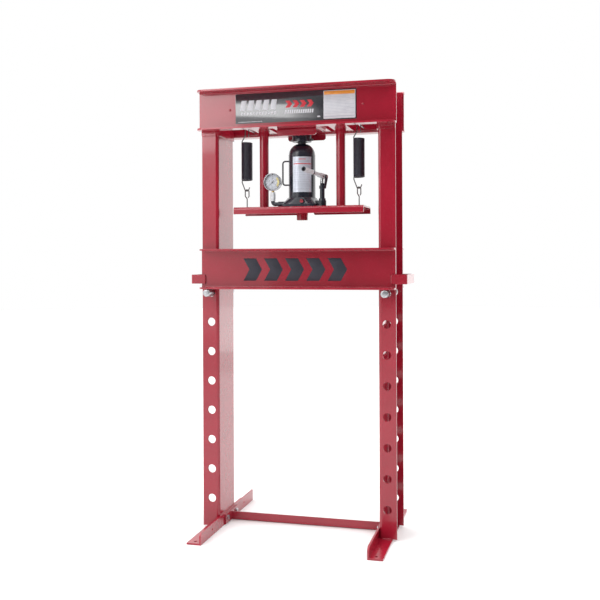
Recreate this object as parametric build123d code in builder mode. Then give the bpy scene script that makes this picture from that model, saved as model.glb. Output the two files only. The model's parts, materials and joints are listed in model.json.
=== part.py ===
from build123d import *

import math
import os

os.makedirs("parts", exist_ok=True)

# Hydraulic shop press of the H-frame kind. Millimetres, +X to the right, +Y to the
# back, +Z up. The origin is on the floor, midway between the two uprights.

SIDES = (("left", -1), ("right", 1))
FACES = (("front", -1), ("rear", 1))

# ---------------------------------------------------------------- frame sizes
overall_height = 1540.0
inner_width = 570.0          # clear width between the two uprights
upright_depth = 166.0
upright_flange = 60.0
upright_wall = 6.0
upright_top_gap = 6.0        # the uprights end this far below the top of the head
bend_radius = 10.0           # outside radius of every folded channel
tip_corner_radius = 26.0     # plan radius at the ends of the head and bed flanges

foot_length = 560.0
foot_width = 51.0
foot_height = 41.0
foot_wall = 6.0
foot_nose_back = 13.0        # sloping cut on the front end of each foot
foot_nose_down = 9.0
foot_spare_hole_y = 170.0
foot_spare_hole_radius = 4.0
anchor_hole_radius = 5.5
anchor_end_distance = 20.0
anchor_edge_distance = 26.0  # from the inner side of the foot

crossbar_y = 19.0            # middle of the end plates
crossbar_height = 28.0
crossbar_width = 30.0
crossbar_wall = 4.0
crossbar_floor_gap = 2.0
end_plate_length = 130.0
end_plate_height = 34.0
end_plate_wall = 5.0
crossbar_bolt_pitch = 90.0
crossbar_bolt_height = 22.0
crossbar_bolt_radius = 5.0
crossbar_bolt_head = 8.5     # across-corners radius of the hexagon
crossbar_bolt_head_height = 6.0
bolt_hole_gap = 0.5

# ---------------------------------------------------------------- head sizes
head_height = 140.0
head_overhang = 65.0         # each end, past the inner face of the upright
head_flange = 50.0
head_wall = 6.0
bracket_wall = 5.0
bracket_drop = 15.0          # the brackets show this far below the head
bracket_bend = 14.0

thrust_plate_length = 180.0
thrust_plate_wall = 12.0
thrust_channel_length = 140.0
thrust_channel_depth = 150.0
thrust_channel_wall = 6.0
thrust_channel_drop = 24.0
thrust_channel_corner = 6.0

collar_radius = 34.0
collar_bore_gap = 0.3
collar_bottom_drop = 14.0    # below the lower edge of the thrust channel
collar_screw_radius = 4.0
collar_screw_reach = 7.0
collar_screw_socket = 2.0    # across-corners radius of the hexagon socket

guide_spacing = 280.0
guide_tube_radius = 16.5
guide_tube_wall = 3.0
guide_running_gap = 0.05
guide_sleeve_radius = 19.5
guide_sleeve_drop = 15.0
guide_sleeve_height = 45.0
guide_overlap = 12.0         # tube left inside its sleeve at full stroke
guide_plate_length = 64.0
guide_plate_wall = 6.0

tie_bolt_inset = 49.0        # from the inner face of the upright
tie_bolt_below_top = 69.0
tie_bolt_radius = 3.0
tie_bolt_head = 4.5
tie_bolt_head_height = 2.5

# ---------------------------------------------------------------- ram and jack sizes
ram_stroke = 140.0
platform_below_head = 268.0
platform_end_gap = 52.0      # to the inner face of each upright
platform_depth = 140.0
platform_height = 25.0
platform_wall = 6.0
platform_notch_length = 70.0
platform_notch_height = 9.0
platform_notch_slope = 60.0  # degrees
nose_radius = 20.0
nose_bottom_drop = 22.0      # below the lower edge of the platform
nose_chamfer = 1.5

jack_base_length = 128.0
jack_base_width = 124.0
jack_base_corner = 20.0
jack_base_rim = 8.0
jack_base_height = 31.0
jack_shoulder = 5.0          # base top wider than the tank
tank_radius = 47.25
tank_wall = 3.0
tank_height = 152.0
cylinder_inner = 20.05
cylinder_wall = 6.0
cylinder_recess = 10.0
piston_radius = 20.0
piston_height = 18.0
piston_gap = 0.5
ram_radius = 17.0
ram_running_gap = 0.05
ram_above_cap = -1.0
screw_radius = 14.5
screw_depth = 90.0
thread_gap = 0.05
saddle_radius = 20.0
saddle_height = 34.0
cap_height = 38.0
cap_top_radius = 21.0
cap_lip = 0.75               # the cap is this much narrower than the tank
cap_spigot_height = 8.0
cap_spigot_gap = 6.2         # spigot to pressure cylinder
wiper_radius = 19.5
wiper_height = 4.0
plug_radius = 5.0
plug_below_tank_top = 18.0
plug_head_radius = 7.0

carry_reach = 20.0           # handle wire centre from the tank's side
carry_wire_radius = 2.75
carry_above_platform = 78.0
carry_height = 84.0
carry_bend = 9.0
carry_y = -12.0

valve_x = 15.0
valve_height = 17.0          # above the platform
valve_stem_radius = 5.0
valve_running_gap = 0.05
valve_boss_radius = 9.0
valve_boss_front = 61.0
valve_boss_length = 20.0
valve_head_radius = 5.6
valve_head_length = 10.0
valve_stem_length = 16.0
valve_slot_width = 2.5
valve_slot_depth = 4.0
valve_head_gap = 0.3         # between the boss and the valve's head
bore_end_gap = 1.0           # blind bores are this much deeper than their pins

# ---------------------------------------------------------------- pump sizes
pump_x = 78.0
pump_y = -20.0
pump_heading = math.atan(0.5)        # lever direction, turned from straight ahead
pump_arm_radius = 14.0
pump_arm_height = 20.0
pump_boss_radius = 12.5
pump_boss_height = 8.0
pump_boss_taper = 8.0                # degrees
pump_arm_root_radius = 21.0
barrel_radius = 8.5
barrel_bottom = 8.0                  # above the platform
barrel_top = 72.0
plunger_radius = 4.5
plunger_running_gap = 0.05
plunger_depth = 34.0
gland_radius = 7.6
gland_height = 9.0
gland_chamfer = 1.0
pivot_above_barrel = 32.0
fulcrum_offset = 12.0                # plunger to fulcrum
fulcrum_pin_radius = 3.0
fulcrum_head_radius = 4.5
fulcrum_head_height = 2.0
plunger_pin_radius = 2.5
pin_running_gap = 0.05
eye_half_width = 3.0
cheek_gap = 0.4
cheek_wall = 4.0
cheek_radius = 8.0
ear_wall = 3.0
ear_radius = 7.0
ear_clamp_height = 10.0
lever_elevation = 10.0               # degrees above level at rest
lever_neck_start = 20.0
lever_stub_radius = 7.0
lever_collar_radius = 8.0
lever_stub_end = 62.0
swivel_ring_length = 5.0
swivel_ring_radius = 9.0
swivel_pivot_radius = 4.0
swivel_pivot_length = 22.0
swivel_running_gap = 0.05
swivel_face_gap = 0.3
socket_radius = 8.0
socket_bore_radius = 6.3
socket_bore_depth = 42.0
socket_end = 114.4
slot_length = 2.5
slot_play = 0.9

# ---------------------------------------------------------------- gauge sizes
gauge_x = -96.0
gauge_y = -40.0
gauge_height = 87.0                  # gauge centre above the platform
gauge_case_radius = 29.5
gauge_case_wall = 1.5
gauge_case_front = 9.0               # in front of the stem's middle
gauge_case_back = 15.0
gauge_case_edge = 3.0                # radius of its rear edge
gauge_case_ledge = 2.0               # the dial rests on this ledge
gauge_dial_radius = 27.8
gauge_dial_wall = 1.0
gauge_dial_set_back = 6.0            # behind the front of the case
gauge_lens_radius = 29.3
gauge_lens_wall = 2.0
gauge_bezel_radius = 31.5
gauge_bezel_inner = 27.5
gauge_bezel_lip = 2.0
gauge_bezel_skirt = 5.5
gauge_bezel_edge = 1.6
gauge_fit_gap = 0.1
needle_pivot_radius = 1.0
needle_hub_radius = 2.6
needle_wall = 0.8
needle_tip = 20.0
needle_tail = 8.0
needle_angle = 225.0                 # rest direction, degrees from +X towards +Z
needle_dial_gap = 1.8
gauge_stem_radius = 4.95
gauge_stem_bottom = 51.0
gauge_adapter_radius = 8.5
gauge_adapter_bottom = 20.0
gauge_adapter_hex = 9.5              # across-corners radius
elbow_radius = 7.0
elbow_height = 9.5
elbow_bend = 9.0
port_boss_radius = 9.0
port_boss_end = 76.0

# ---------------------------------------------------------------- return spring sizes
spring_inset = 80.0                  # from the inner face of the upright
spring_radius = 20.3
wire_radius = 1.9
spring_below_head = 31.0
spring_length = 138.5
hanger_rod_radius = 4.0
hanger_rod_above_head = 18.0
top_hook_radius = 6.5
top_hook_tip_drop = 28.0
top_hook_shoulder = 6.0      # bend radius half-way up the hook
bottom_hook_bends = (6.0, 5.0, 4.0)
bend_share = 0.98            # a half-turn's two bends, just short of meeting
bottom_hook_drop = 36.5
eye_half = 9.0
eye_top_gap = 0.1
eye_height = 32.0
eye_turn = 60.0                      # degrees from the plane of the hooks
eye_shank_below = 20.0
eye_bends = (5.0, 5.0, 6.3, 6.3, 3.0)
anchor_nut_radius = 5.0
anchor_nut_height = 5.0

# ---------------------------------------------------------------- bed sizes
bed_height = 140.0
bed_overhang = 60.0                  # each end, past the inner face of the upright
bed_flange = 50.0
bed_wall = 6.0
bed_upright_gap = 1.5
strap_height = 32.0
strap_wall = 6.0
strap_overlap = 14.0
strap_overhang = 99.0                # past the inner face of the upright
strap_above_bed_bottom = 18.0
strap_bend = 9.0

pin_hole_radius = 14.5
pin_hole_first = 103.0
pin_hole_pitch = 104.0
pin_hole_count = 8
pin_hole_inset = 28.0                # outwards from the upright's inner face
bed_pin_radius = 13.0
bed_pin_reach = 50.0                 # in front of and behind the uprights
bed_pin_chamfer = 2.0
pin_bed_gap = 0.3

# ---------------------------------------------------------------- sizes that follow
web_x = inner_width / 2
upright_front = upright_depth / 2
upright_top = overall_height - upright_top_gap
head_bottom = overall_height - head_height
head_back = upright_front + bracket_wall
head_length = inner_width + 2 * head_overhang
bed_length = inner_width + 2 * bed_overhang
strap_reach = web_x + strap_overhang
pin_hole_x = web_x + pin_hole_inset
tie_bolt_x = web_x - tie_bolt_inset
spring_x = web_x - spring_inset
spring_top = head_bottom - spring_below_head
platform_top = head_bottom - platform_below_head
platform_length = inner_width - 2 * platform_end_gap
carry_bottom = platform_top + carry_above_platform
pivot_height = barrel_top + pivot_above_barrel   # pump pivot above the platform
foot_inner = web_x - foot_wall
anchor_x = foot_inner + anchor_edge_distance
anchor_y = foot_length / 2 - anchor_end_distance
crossbar_bolt_ys = [crossbar_y - crossbar_bolt_pitch / 2, crossbar_y + crossbar_bolt_pitch / 2]
pin_hole_heights = [pin_hole_first + pin_hole_pitch * i for i in range(pin_hole_count)]
bed_pin_z = pin_hole_heights[-1]
bed_bottom = bed_pin_z + bed_pin_radius + pin_bed_gap
bed_back = upright_front + bed_upright_gap
bed_front = bed_back + bed_wall
thrust_channel_top = head_bottom + thrust_channel_wall
collar_bottom = head_bottom - thrust_channel_drop - collar_bottom_drop
guide_x = guide_spacing / 2
sleeve_bottom = head_bottom - guide_sleeve_drop
guide_tube_top = sleeve_bottom + ram_stroke + guide_overlap
guide_plate_bottom = head_bottom + head_wall
tie_bolt_z = overall_height - tie_bolt_below_top
platform_bottom = platform_top - platform_height
web_under = platform_top - platform_wall
nose_bottom = platform_bottom - nose_bottom_drop
base_top = platform_top + jack_base_height
tank_top = base_top + tank_height
cap_radius = tank_radius - cap_lip
cap_top = tank_top + cap_height
tank_inner = tank_radius - tank_wall
cylinder_outer = cylinder_inner + cylinder_wall
cylinder_bottom = base_top - cylinder_recess
piston_bottom = cylinder_bottom + piston_gap
ram_top = cap_top + ram_above_cap
saddle_bottom = head_bottom - saddle_height
spring_bottom = spring_top - spring_length
hanger_rod_z = head_bottom + hanger_rod_above_head
gauge_z = platform_top + gauge_height
gauge_front_y = gauge_y - gauge_case_front
dial_front_y = gauge_front_y + gauge_dial_set_back - gauge_dial_wall
pump_pivot_z = platform_top + pivot_height
heading_x = -math.sin(pump_heading)
heading_y = -math.cos(pump_heading)


def channel_section(plane, depth, flange, wall, bend):
    """Folded U section: web along the plane's y at x = 0, flanges towards its +x."""
    with BuildSketch(plane) as section:
        with BuildLine():
            FilletPolyline(
                (flange, -depth / 2),
                (0, -depth / 2),
                (0, depth / 2),
                (flange, depth / 2),
                radius=bend,
            )
            offset(amount=wall, side=Side.RIGHT)
        make_face()
    return section.sketch


def facing_front(x, y, z, turn=0.0):
    """Upright plane at a point, looking to the front, turned about the vertical by degrees."""
    across = math.cos(math.radians(turn))
    back = math.sin(math.radians(turn))
    return Plane(origin=(x, y, z), x_dir=(across, back, 0), z_dir=(back, -across, 0))


def spun(plane, angle):
    """The same plane with its axes turned about its own normal by degrees."""
    x_dir = plane.x_dir * math.cos(math.radians(angle)) + plane.y_dir * math.sin(math.radians(angle))
    return Plane(origin=plane.origin, x_dir=x_dir, z_dir=plane.z_dir)


# ================================================================ uprights
for side, sign in SIDES:
    with BuildPart() as upright:
        standing = Plane(origin=(sign * web_x, 0, foot_wall), x_dir=(sign, 0, 0), z_dir=(0, 0, 1))
        profile = channel_section(standing, upright_depth, upright_flange, upright_wall, bend_radius)
        extrude(profile, amount=upright_top - foot_wall)
        with BuildSketch(Plane.XZ):
            with Locations(*[(sign * pin_hole_x, height) for height in pin_hole_heights]):
                Circle(pin_hole_radius)
        extrude(amount=upright_depth, both=True, mode=Mode.SUBTRACT)
        with BuildSketch(Plane.YZ):
            with Locations(*[(y, crossbar_bolt_height) for y in crossbar_bolt_ys]):
                Circle(crossbar_bolt_radius + bolt_hole_gap)
        extrude(amount=inner_width, both=True, mode=Mode.SUBTRACT)
    upright.part.label = f"{side}_upright"
    export_step(upright.part, f"parts/{side}_upright.step")

# ================================================================ feet
for side, sign in SIDES:
    with BuildPart() as foot:
        with BuildSketch(Plane.XZ.offset(-foot_length / 2)):
            with BuildLine():
                Polyline(
                    (sign * foot_inner, 0),
                    (sign * (foot_inner + foot_width), 0),
                    (sign * (foot_inner + foot_width), foot_wall),
                    (sign * web_x, foot_wall),
                    (sign * web_x, foot_height),
                    (sign * foot_inner, foot_height),
                    close=True,
                )
            make_face()
        extrude(amount=foot_length)
        with BuildSketch(Plane.YZ):
            with BuildLine():
                Polyline(
                    (-foot_length / 2, foot_height),
                    (-foot_length / 2 + foot_nose_back, foot_height),
                    (-foot_length / 2, foot_height - foot_nose_down),
                    close=True,
                )
            make_face()
            with Locations(*[(y, crossbar_bolt_height) for y in crossbar_bolt_ys]):
                Circle(crossbar_bolt_radius + bolt_hole_gap)
            with Locations((-foot_spare_hole_y, foot_height / 2), (foot_spare_hole_y, foot_height / 2)):
                Circle(foot_spare_hole_radius)
        extrude(amount=inner_width, both=True, mode=Mode.SUBTRACT)
        with BuildSketch(Plane.XY):
            with Locations((sign * anchor_x, -anchor_y), (sign * anchor_x, anchor_y)):
                Circle(anchor_hole_radius)
        extrude(amount=foot_wall, mode=Mode.SUBTRACT)
    foot.part.label = f"{side}_foot"
    export_step(foot.part, f"parts/{side}_foot.step")

# ================================================================ crossbar between the feet
plate_face = foot_inner - end_plate_wall
with BuildPart() as base_crossbar:
    with BuildSketch(Plane.YZ):
        with BuildLine():
            Polyline(
                (crossbar_y, crossbar_floor_gap),
                (crossbar_y + crossbar_width, crossbar_floor_gap),
                (crossbar_y + crossbar_width, crossbar_floor_gap + crossbar_wall),
                (crossbar_y + crossbar_wall, crossbar_floor_gap + crossbar_wall),
                (crossbar_y + crossbar_wall, crossbar_floor_gap + crossbar_height),
                (crossbar_y, crossbar_floor_gap + crossbar_height),
                close=True,
            )
        make_face()
    extrude(amount=plate_face, both=True)
    for side, sign in SIDES:
        with BuildSketch(Plane.YZ.offset(sign * (foot_inner - end_plate_wall / 2))):
            with Locations((crossbar_y, crossbar_floor_gap + end_plate_height / 2)):
                Rectangle(end_plate_length, end_plate_height)
            with Locations(*[(y, crossbar_bolt_height) for y in crossbar_bolt_ys]):
                Circle(crossbar_bolt_radius + bolt_hole_gap, mode=Mode.SUBTRACT)
        extrude(amount=end_plate_wall / 2, both=True)
base_crossbar.part.label = "base_crossbar"
export_step(base_crossbar.part, "parts/base_crossbar.step")

# Each bolt goes through an end plate, the foot and the upright's web, with a nut outside.
bolt_grip = end_plate_wall + foot_wall + upright_wall
with BuildPart() as crossbar_bolts:
    for side, sign in SIDES:
        for y in crossbar_bolt_ys:
            seat = Plane(
                origin=(sign * plate_face, y, crossbar_bolt_height), x_dir=(0, 1, 0), z_dir=(sign, 0, 0)
            )
            with BuildSketch(seat):
                Circle(crossbar_bolt_radius)
            extrude(amount=bolt_grip + 2 * crossbar_bolt_head_height)
            with BuildSketch(seat):
                RegularPolygon(crossbar_bolt_head, 6)
            extrude(amount=-crossbar_bolt_head_height)
crossbar_bolts.part.label = "crossbar_bolts"
export_step(crossbar_bolts.part, "parts/crossbar_bolts.step")

with BuildPart() as crossbar_nuts:
    for side, sign in SIDES:
        for y in crossbar_bolt_ys:
            seat = Plane(
                origin=(sign * (web_x + upright_wall), y, crossbar_bolt_height),
                x_dir=(0, 1, 0),
                z_dir=(sign, 0, 0),
            )
            with BuildSketch(seat):
                RegularPolygon(crossbar_bolt_head, 6)
                Circle(crossbar_bolt_radius + thread_gap, mode=Mode.SUBTRACT)
            extrude(amount=crossbar_bolt_head_height)
crossbar_nuts.part.label = "crossbar_nuts"
export_step(crossbar_nuts.part, "parts/crossbar_nuts.step")

# ================================================================ head
for face, sign in FACES:
    with BuildPart() as head_channel:
        end = Plane(
            origin=(-head_length / 2, sign * head_back, overall_height - head_height / 2),
            x_dir=(0, sign, 0),
            z_dir=(1, 0, 0),
        )
        extrude(channel_section(end, head_height, head_flange, head_wall, bend_radius), amount=head_length)
        tips = head_channel.edges().filter_by(Axis.Z).group_by(Axis.Y)
        fillet(tips[0] if sign < 0 else tips[-1], tip_corner_radius)
        with BuildSketch(Plane.XZ):
            with Locations((-tie_bolt_x, tie_bolt_z), (tie_bolt_x, tie_bolt_z)):
                Circle(tie_bolt_radius + bolt_hole_gap)
        extrude(amount=head_length, both=True, mode=Mode.SUBTRACT)
    head_channel.part.label = f"{face}_head_channel"
    export_step(head_channel.part, f"parts/{face}_head_channel.step")

# Folded brackets wrap the upright tops and carry the head's two channels.
with BuildPart() as head_brackets:
    for side, sign in SIDES:
        wrap = Plane(
            origin=(sign * (web_x - bracket_wall), 0, head_bottom - bracket_drop),
            x_dir=(sign, 0, 0),
            z_dir=(0, 0, 1),
        )
        profile = channel_section(
            wrap, 2 * head_back, upright_flange + bracket_wall, bracket_wall, bracket_bend
        )
        extrude(profile, amount=upright_top - head_bottom + bracket_drop)
head_brackets.part.label = "head_brackets"
export_step(head_brackets.part, "parts/head_brackets.step")

with BuildPart() as thrust_plate:
    with BuildSketch(Plane.XY.offset(thrust_channel_top)):
        Rectangle(thrust_plate_length, 2 * head_back)
    extrude(amount=thrust_plate_wall)
thrust_plate.part.label = "thrust_plate"
export_step(thrust_plate.part, "parts/thrust_plate.step")

with BuildPart() as thrust_channel:
    down = Plane(origin=(-thrust_channel_length / 2, 0, thrust_channel_top), x_dir=(0, 0, -1), z_dir=(1, 0, 0))
    profile = channel_section(
        down,
        thrust_channel_depth,
        thrust_channel_wall + thrust_channel_drop,
        thrust_channel_wall,
        bend_radius,
    )
    extrude(profile, amount=thrust_channel_length)
    corners = thrust_channel.edges().filter_by(Axis.Y).group_by(Axis.Z)[0]
    chamfer(corners, thrust_channel_corner)
thrust_channel.part.label = "thrust_channel"
export_step(thrust_channel.part, "parts/thrust_channel.step")

with BuildPart() as locating_collar:
    with BuildSketch(Plane.XY.offset(collar_bottom)):
        Circle(collar_radius)
        Circle(saddle_radius + collar_bore_gap, mode=Mode.SUBTRACT)
    extrude(amount=head_bottom - collar_bottom)
    with BuildSketch(Plane.YZ):
        with Locations((0, collar_bottom + collar_bottom_drop / 2)):
            Circle(collar_screw_radius)
    extrude(amount=2 * collar_radius, both=True, mode=Mode.SUBTRACT)
locating_collar.part.label = "locating_collar"
export_step(locating_collar.part, "parts/locating_collar.step")

with BuildPart() as collar_set_screws:
    for side, sign in SIDES:
        screw_start = saddle_radius + collar_bore_gap
        screw_plane = Plane(
            origin=(sign * screw_start, 0, collar_bottom + collar_bottom_drop / 2),
            x_dir=(0, 1, 0),
            z_dir=(sign, 0, 0),
        )
        with BuildSketch(screw_plane):
            Circle(collar_screw_radius - thread_gap)
        extrude(amount=collar_radius - screw_start + collar_screw_reach)
        with BuildSketch(screw_plane.offset(collar_radius - screw_start + collar_screw_reach)):
            RegularPolygon(collar_screw_socket, 6)
        extrude(amount=-collar_screw_reach / 2, mode=Mode.SUBTRACT)
collar_set_screws.part.label = "collar_set_screws"
export_step(collar_set_screws.part, "parts/collar_set_screws.step")

with BuildPart() as guide_plates:
    with BuildSketch(Plane.XY.offset(guide_plate_bottom)):
        with Locations((-guide_x, 0), (guide_x, 0)):
            Rectangle(guide_plate_length, 2 * head_back)
            Circle(guide_sleeve_radius + thread_gap, mode=Mode.SUBTRACT)
    extrude(amount=guide_plate_wall)
guide_plates.part.label = "guide_plates"
export_step(guide_plates.part, "parts/guide_plates.step")

with BuildPart() as guide_sleeves:
    with BuildSketch(Plane.XY.offset(sleeve_bottom)):
        with Locations((-guide_x, 0), (guide_x, 0)):
            Circle(guide_sleeve_radius)
            Circle(guide_tube_radius + guide_running_gap, mode=Mode.SUBTRACT)
    extrude(amount=guide_sleeve_height)
guide_sleeves.part.label = "guide_sleeves"
export_step(guide_sleeves.part, "parts/guide_sleeves.step")

# Long bolts tie the two head channels together, with round heads front and rear.
with BuildPart() as head_tie_bolts:
    head_face = head_back + head_wall
    with BuildSketch(Plane.XZ):
        with Locations((-tie_bolt_x, tie_bolt_z), (tie_bolt_x, tie_bolt_z)):
            Circle(tie_bolt_radius)
    extrude(amount=head_face, both=True)
    for face, sign in FACES:
        with BuildSketch(Plane.XZ.offset(-sign * head_face)):
            with Locations((-tie_bolt_x, tie_bolt_z), (tie_bolt_x, tie_bolt_z)):
                Circle(tie_bolt_head)
        extrude(amount=-sign * tie_bolt_head_height)
head_tie_bolts.part.label = "head_tie_bolts"
export_step(head_tie_bolts.part, "parts/head_tie_bolts.step")

with BuildPart() as spring_hanger_rods:
    with BuildSketch(Plane.XZ):
        with Locations((-spring_x, hanger_rod_z), (spring_x, hanger_rod_z)):
            Circle(hanger_rod_radius)
    extrude(amount=head_back, both=True)
spring_hanger_rods.part.label = "spring_hanger_rods"
export_step(spring_hanger_rods.part, "parts/spring_hanger_rods.step")

# ================================================================ ram of the jack
with BuildPart() as jack_ram:
    with BuildSketch(Plane.XY.offset(piston_bottom)):
        Circle(piston_radius)
    extrude(amount=piston_height)
    with BuildSketch(Plane.XY.offset(piston_bottom)):
        Circle(ram_radius)
    extrude(amount=ram_top - piston_bottom)
    with BuildSketch(Plane.XY.offset(ram_top)):
        Circle(screw_radius + thread_gap)
    extrude(amount=-screw_depth, mode=Mode.SUBTRACT)
jack_ram.part.label = "jack_ram"
export_step(jack_ram.part, "parts/jack_ram.step")

with BuildPart() as extension_screw:
    with BuildSketch(Plane.XY.offset(ram_top - screw_depth)):
        Circle(screw_radius)
    extrude(amount=saddle_bottom - ram_top + screw_depth)
    with BuildSketch(Plane.XY.offset(saddle_bottom)):
        Circle(saddle_radius)
    extrude(amount=saddle_height)
extension_screw.part.label = "extension_screw"
export_step(extension_screw.part, "parts/extension_screw.step")

# ================================================================ ram platform and its guides
with BuildPart() as ram_platform:
    under = Plane(origin=(-platform_length / 2, 0, platform_top), x_dir=(0, 0, -1), z_dir=(1, 0, 0))
    profile = channel_section(under, platform_depth, platform_height, platform_wall, bend_radius)
    extrude(profile, amount=platform_length)
    with BuildSketch(Plane.XZ):
        with Locations((0, platform_bottom)):
            Trapezoid(
                platform_notch_length,
                2 * platform_notch_height,
                platform_notch_slope,
                align=(Align.CENTER, Align.CENTER),
            )
    extrude(amount=-platform_depth, mode=Mode.SUBTRACT)
    with BuildSketch(Plane.XY.offset(platform_top)):
        with Locations((-spring_x, 0), (spring_x, 0)):
            Circle(wire_radius + thread_gap)
    extrude(amount=-platform_wall, mode=Mode.SUBTRACT)
ram_platform.part.label = "ram_platform"
export_step(ram_platform.part, "parts/ram_platform.step")

with BuildPart() as ram_nose:
    with BuildSketch(Plane.XY.offset(nose_bottom)):
        Circle(nose_radius)
    extrude(amount=web_under - nose_bottom)
    chamfer(ram_nose.faces().sort_by(Axis.Z)[0].edges(), nose_chamfer)
ram_nose.part.label = "ram_nose"
export_step(ram_nose.part, "parts/ram_nose.step")

for side, sign in SIDES:
    with BuildPart() as guide_tube:
        with BuildSketch(Plane.XY.offset(platform_top)):
            with Locations((sign * guide_x, 0)):
                Circle(guide_tube_radius)
                Circle(guide_tube_radius - guide_tube_wall, mode=Mode.SUBTRACT)
        extrude(amount=guide_tube_top - platform_top)
    guide_tube.part.label = f"{side}_guide_tube"
    export_step(guide_tube.part, f"parts/{side}_guide_tube.step")

# ================================================================ jack body
pump_base = Plane(origin=(pump_x, pump_y, platform_top))
with BuildPart() as jack_base:
    with BuildSketch(Plane.XY.offset(platform_top)):
        RectangleRounded(jack_base_length, jack_base_width, jack_base_corner)
    extrude(amount=jack_base_rim)
    with BuildSketch(Plane.XY.offset(platform_top + jack_base_rim)):
        RectangleRounded(jack_base_length, jack_base_width, jack_base_corner)
    with BuildSketch(Plane.XY.offset(base_top)):
        Circle(tank_radius + jack_shoulder)
    loft()
    with BuildSketch(Plane.XY.offset(platform_top)):
        with Locations((pump_x, pump_y)):
            Circle(pump_arm_radius)
        with Locations((pump_x / 2, pump_y / 2)):
            Circle(pump_arm_root_radius)
        make_hull()
    extrude(amount=pump_arm_height)
    with BuildSketch(pump_base.offset(pump_arm_height)):
        Circle(pump_boss_radius)
    extrude(amount=pump_boss_height, taper=pump_boss_taper)
    with BuildSketch(facing_front(valve_x, -valve_boss_front, platform_top + valve_height)):
        Circle(valve_boss_radius)
    extrude(amount=-valve_boss_length)
    with BuildSketch(Plane.YZ.offset(-port_boss_end)):
        with Locations((gauge_y, platform_top + elbow_height)):
            Circle(port_boss_radius)
    extrude(amount=port_boss_end / 2)
    with BuildSketch(Plane.XY.offset(base_top)):
        Circle(cylinder_outer + thread_gap)
    extrude(amount=-cylinder_recess, mode=Mode.SUBTRACT)
    with BuildSketch(pump_base.offset(barrel_bottom)):
        Circle(barrel_radius + thread_gap)
    extrude(amount=pump_arm_height + pump_boss_height, mode=Mode.SUBTRACT)
    with BuildSketch(facing_front(valve_x, -valve_boss_front, platform_top + valve_height)):
        Circle(valve_stem_radius + valve_running_gap)
    extrude(amount=-valve_stem_length - bore_end_gap, mode=Mode.SUBTRACT)
jack_base.part.label = "jack_base"
export_step(jack_base.part, "parts/jack_base.step")

with BuildPart() as jack_tank:
    with BuildSketch(Plane.XY.offset(base_top)):
        Circle(tank_radius)
        Circle(tank_inner, mode=Mode.SUBTRACT)
    extrude(amount=tank_height)
    with BuildSketch(Plane.XZ.offset(-tank_radius)):
        with Locations((0, tank_top - plug_below_tank_top)):
            Circle(plug_radius)
    extrude(amount=tank_wall * 2, mode=Mode.SUBTRACT)
jack_tank.part.label = "jack_tank"
export_step(jack_tank.part, "parts/jack_tank.step")

with BuildPart() as filler_plug:
    with BuildSketch(Plane.XZ.offset(-tank_radius + tank_wall)):
        with Locations((0, tank_top - plug_below_tank_top)):
            Circle(plug_radius - thread_gap)
    extrude(amount=-tank_wall)
    with BuildSketch(Plane.XZ.offset(-tank_radius)):
        with Locations((0, tank_top - plug_below_tank_top)):
            Circle(plug_head_radius)
    extrude(amount=-tank_wall)
filler_plug.part.label = "filler_plug"
export_step(filler_plug.part, "parts/filler_plug.step")

with BuildPart() as pressure_cylinder:
    with BuildSketch(Plane.XY.offset(cylinder_bottom)):
        Circle(cylinder_outer)
        Circle(cylinder_inner, mode=Mode.SUBTRACT)
    extrude(amount=tank_top - cylinder_bottom)
pressure_cylinder.part.label = "pressure_cylinder"
export_step(pressure_cylinder.part, "parts/pressure_cylinder.step")

# The cap is a dome, revolved about the jack's axis, with a bore for the ram.
with BuildPart() as jack_cap:
    with BuildSketch(Plane.XZ):
        with BuildLine():
            bore = ram_radius + ram_running_gap
            recess = cap_top - wiper_height
            Line((bore, tank_top), (cap_radius, tank_top))
            TangentArc((cap_radius, tank_top), (cap_top_radius, cap_top), tangent=(0, 1))
            Polyline((cap_top_radius, cap_top), (wiper_radius, cap_top), (wiper_radius, recess), (bore, recess))
            Line((bore, recess), (bore, tank_top))
        make_face()
    revolve(axis=Axis.Z)
    with BuildSketch(Plane.XY.offset(tank_top)):
        Circle(tank_inner - thread_gap)
        Circle(cylinder_outer + cap_spigot_gap, mode=Mode.SUBTRACT)
    extrude(amount=-cap_spigot_height)
jack_cap.part.label = "jack_cap"
export_step(jack_cap.part, "parts/jack_cap.step")

with BuildPart() as ram_wiper:
    with BuildSketch(Plane.XY.offset(cap_top - wiper_height)):
        Circle(wiper_radius - thread_gap)
        Circle(ram_radius + ram_running_gap, mode=Mode.SUBTRACT)
    extrude(amount=wiper_height)
ram_wiper.part.label = "ram_wiper"
export_step(ram_wiper.part, "parts/ram_wiper.step")

with BuildPart() as carry_handle:
    handle_x = -tank_radius - carry_reach
    with BuildLine(Plane.XZ.offset(-carry_y)) as handle_route:
        FilletPolyline(
            (-tank_inner, carry_bottom),
            (handle_x, carry_bottom),
            (handle_x, carry_bottom + carry_height),
            (-tank_inner, carry_bottom + carry_height),
            radius=carry_bend,
        )
    with BuildSketch(Plane(origin=handle_route.line @ 0, z_dir=handle_route.line % 0)):
        Circle(carry_wire_radius)
    sweep()
    with BuildSketch(Plane.XY.offset(base_top)):
        Circle(tank_radius)
    extrude(amount=tank_height, mode=Mode.SUBTRACT)
carry_handle.part.label = "carry_handle"
export_step(carry_handle.part, "parts/carry_handle.step")

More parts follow.
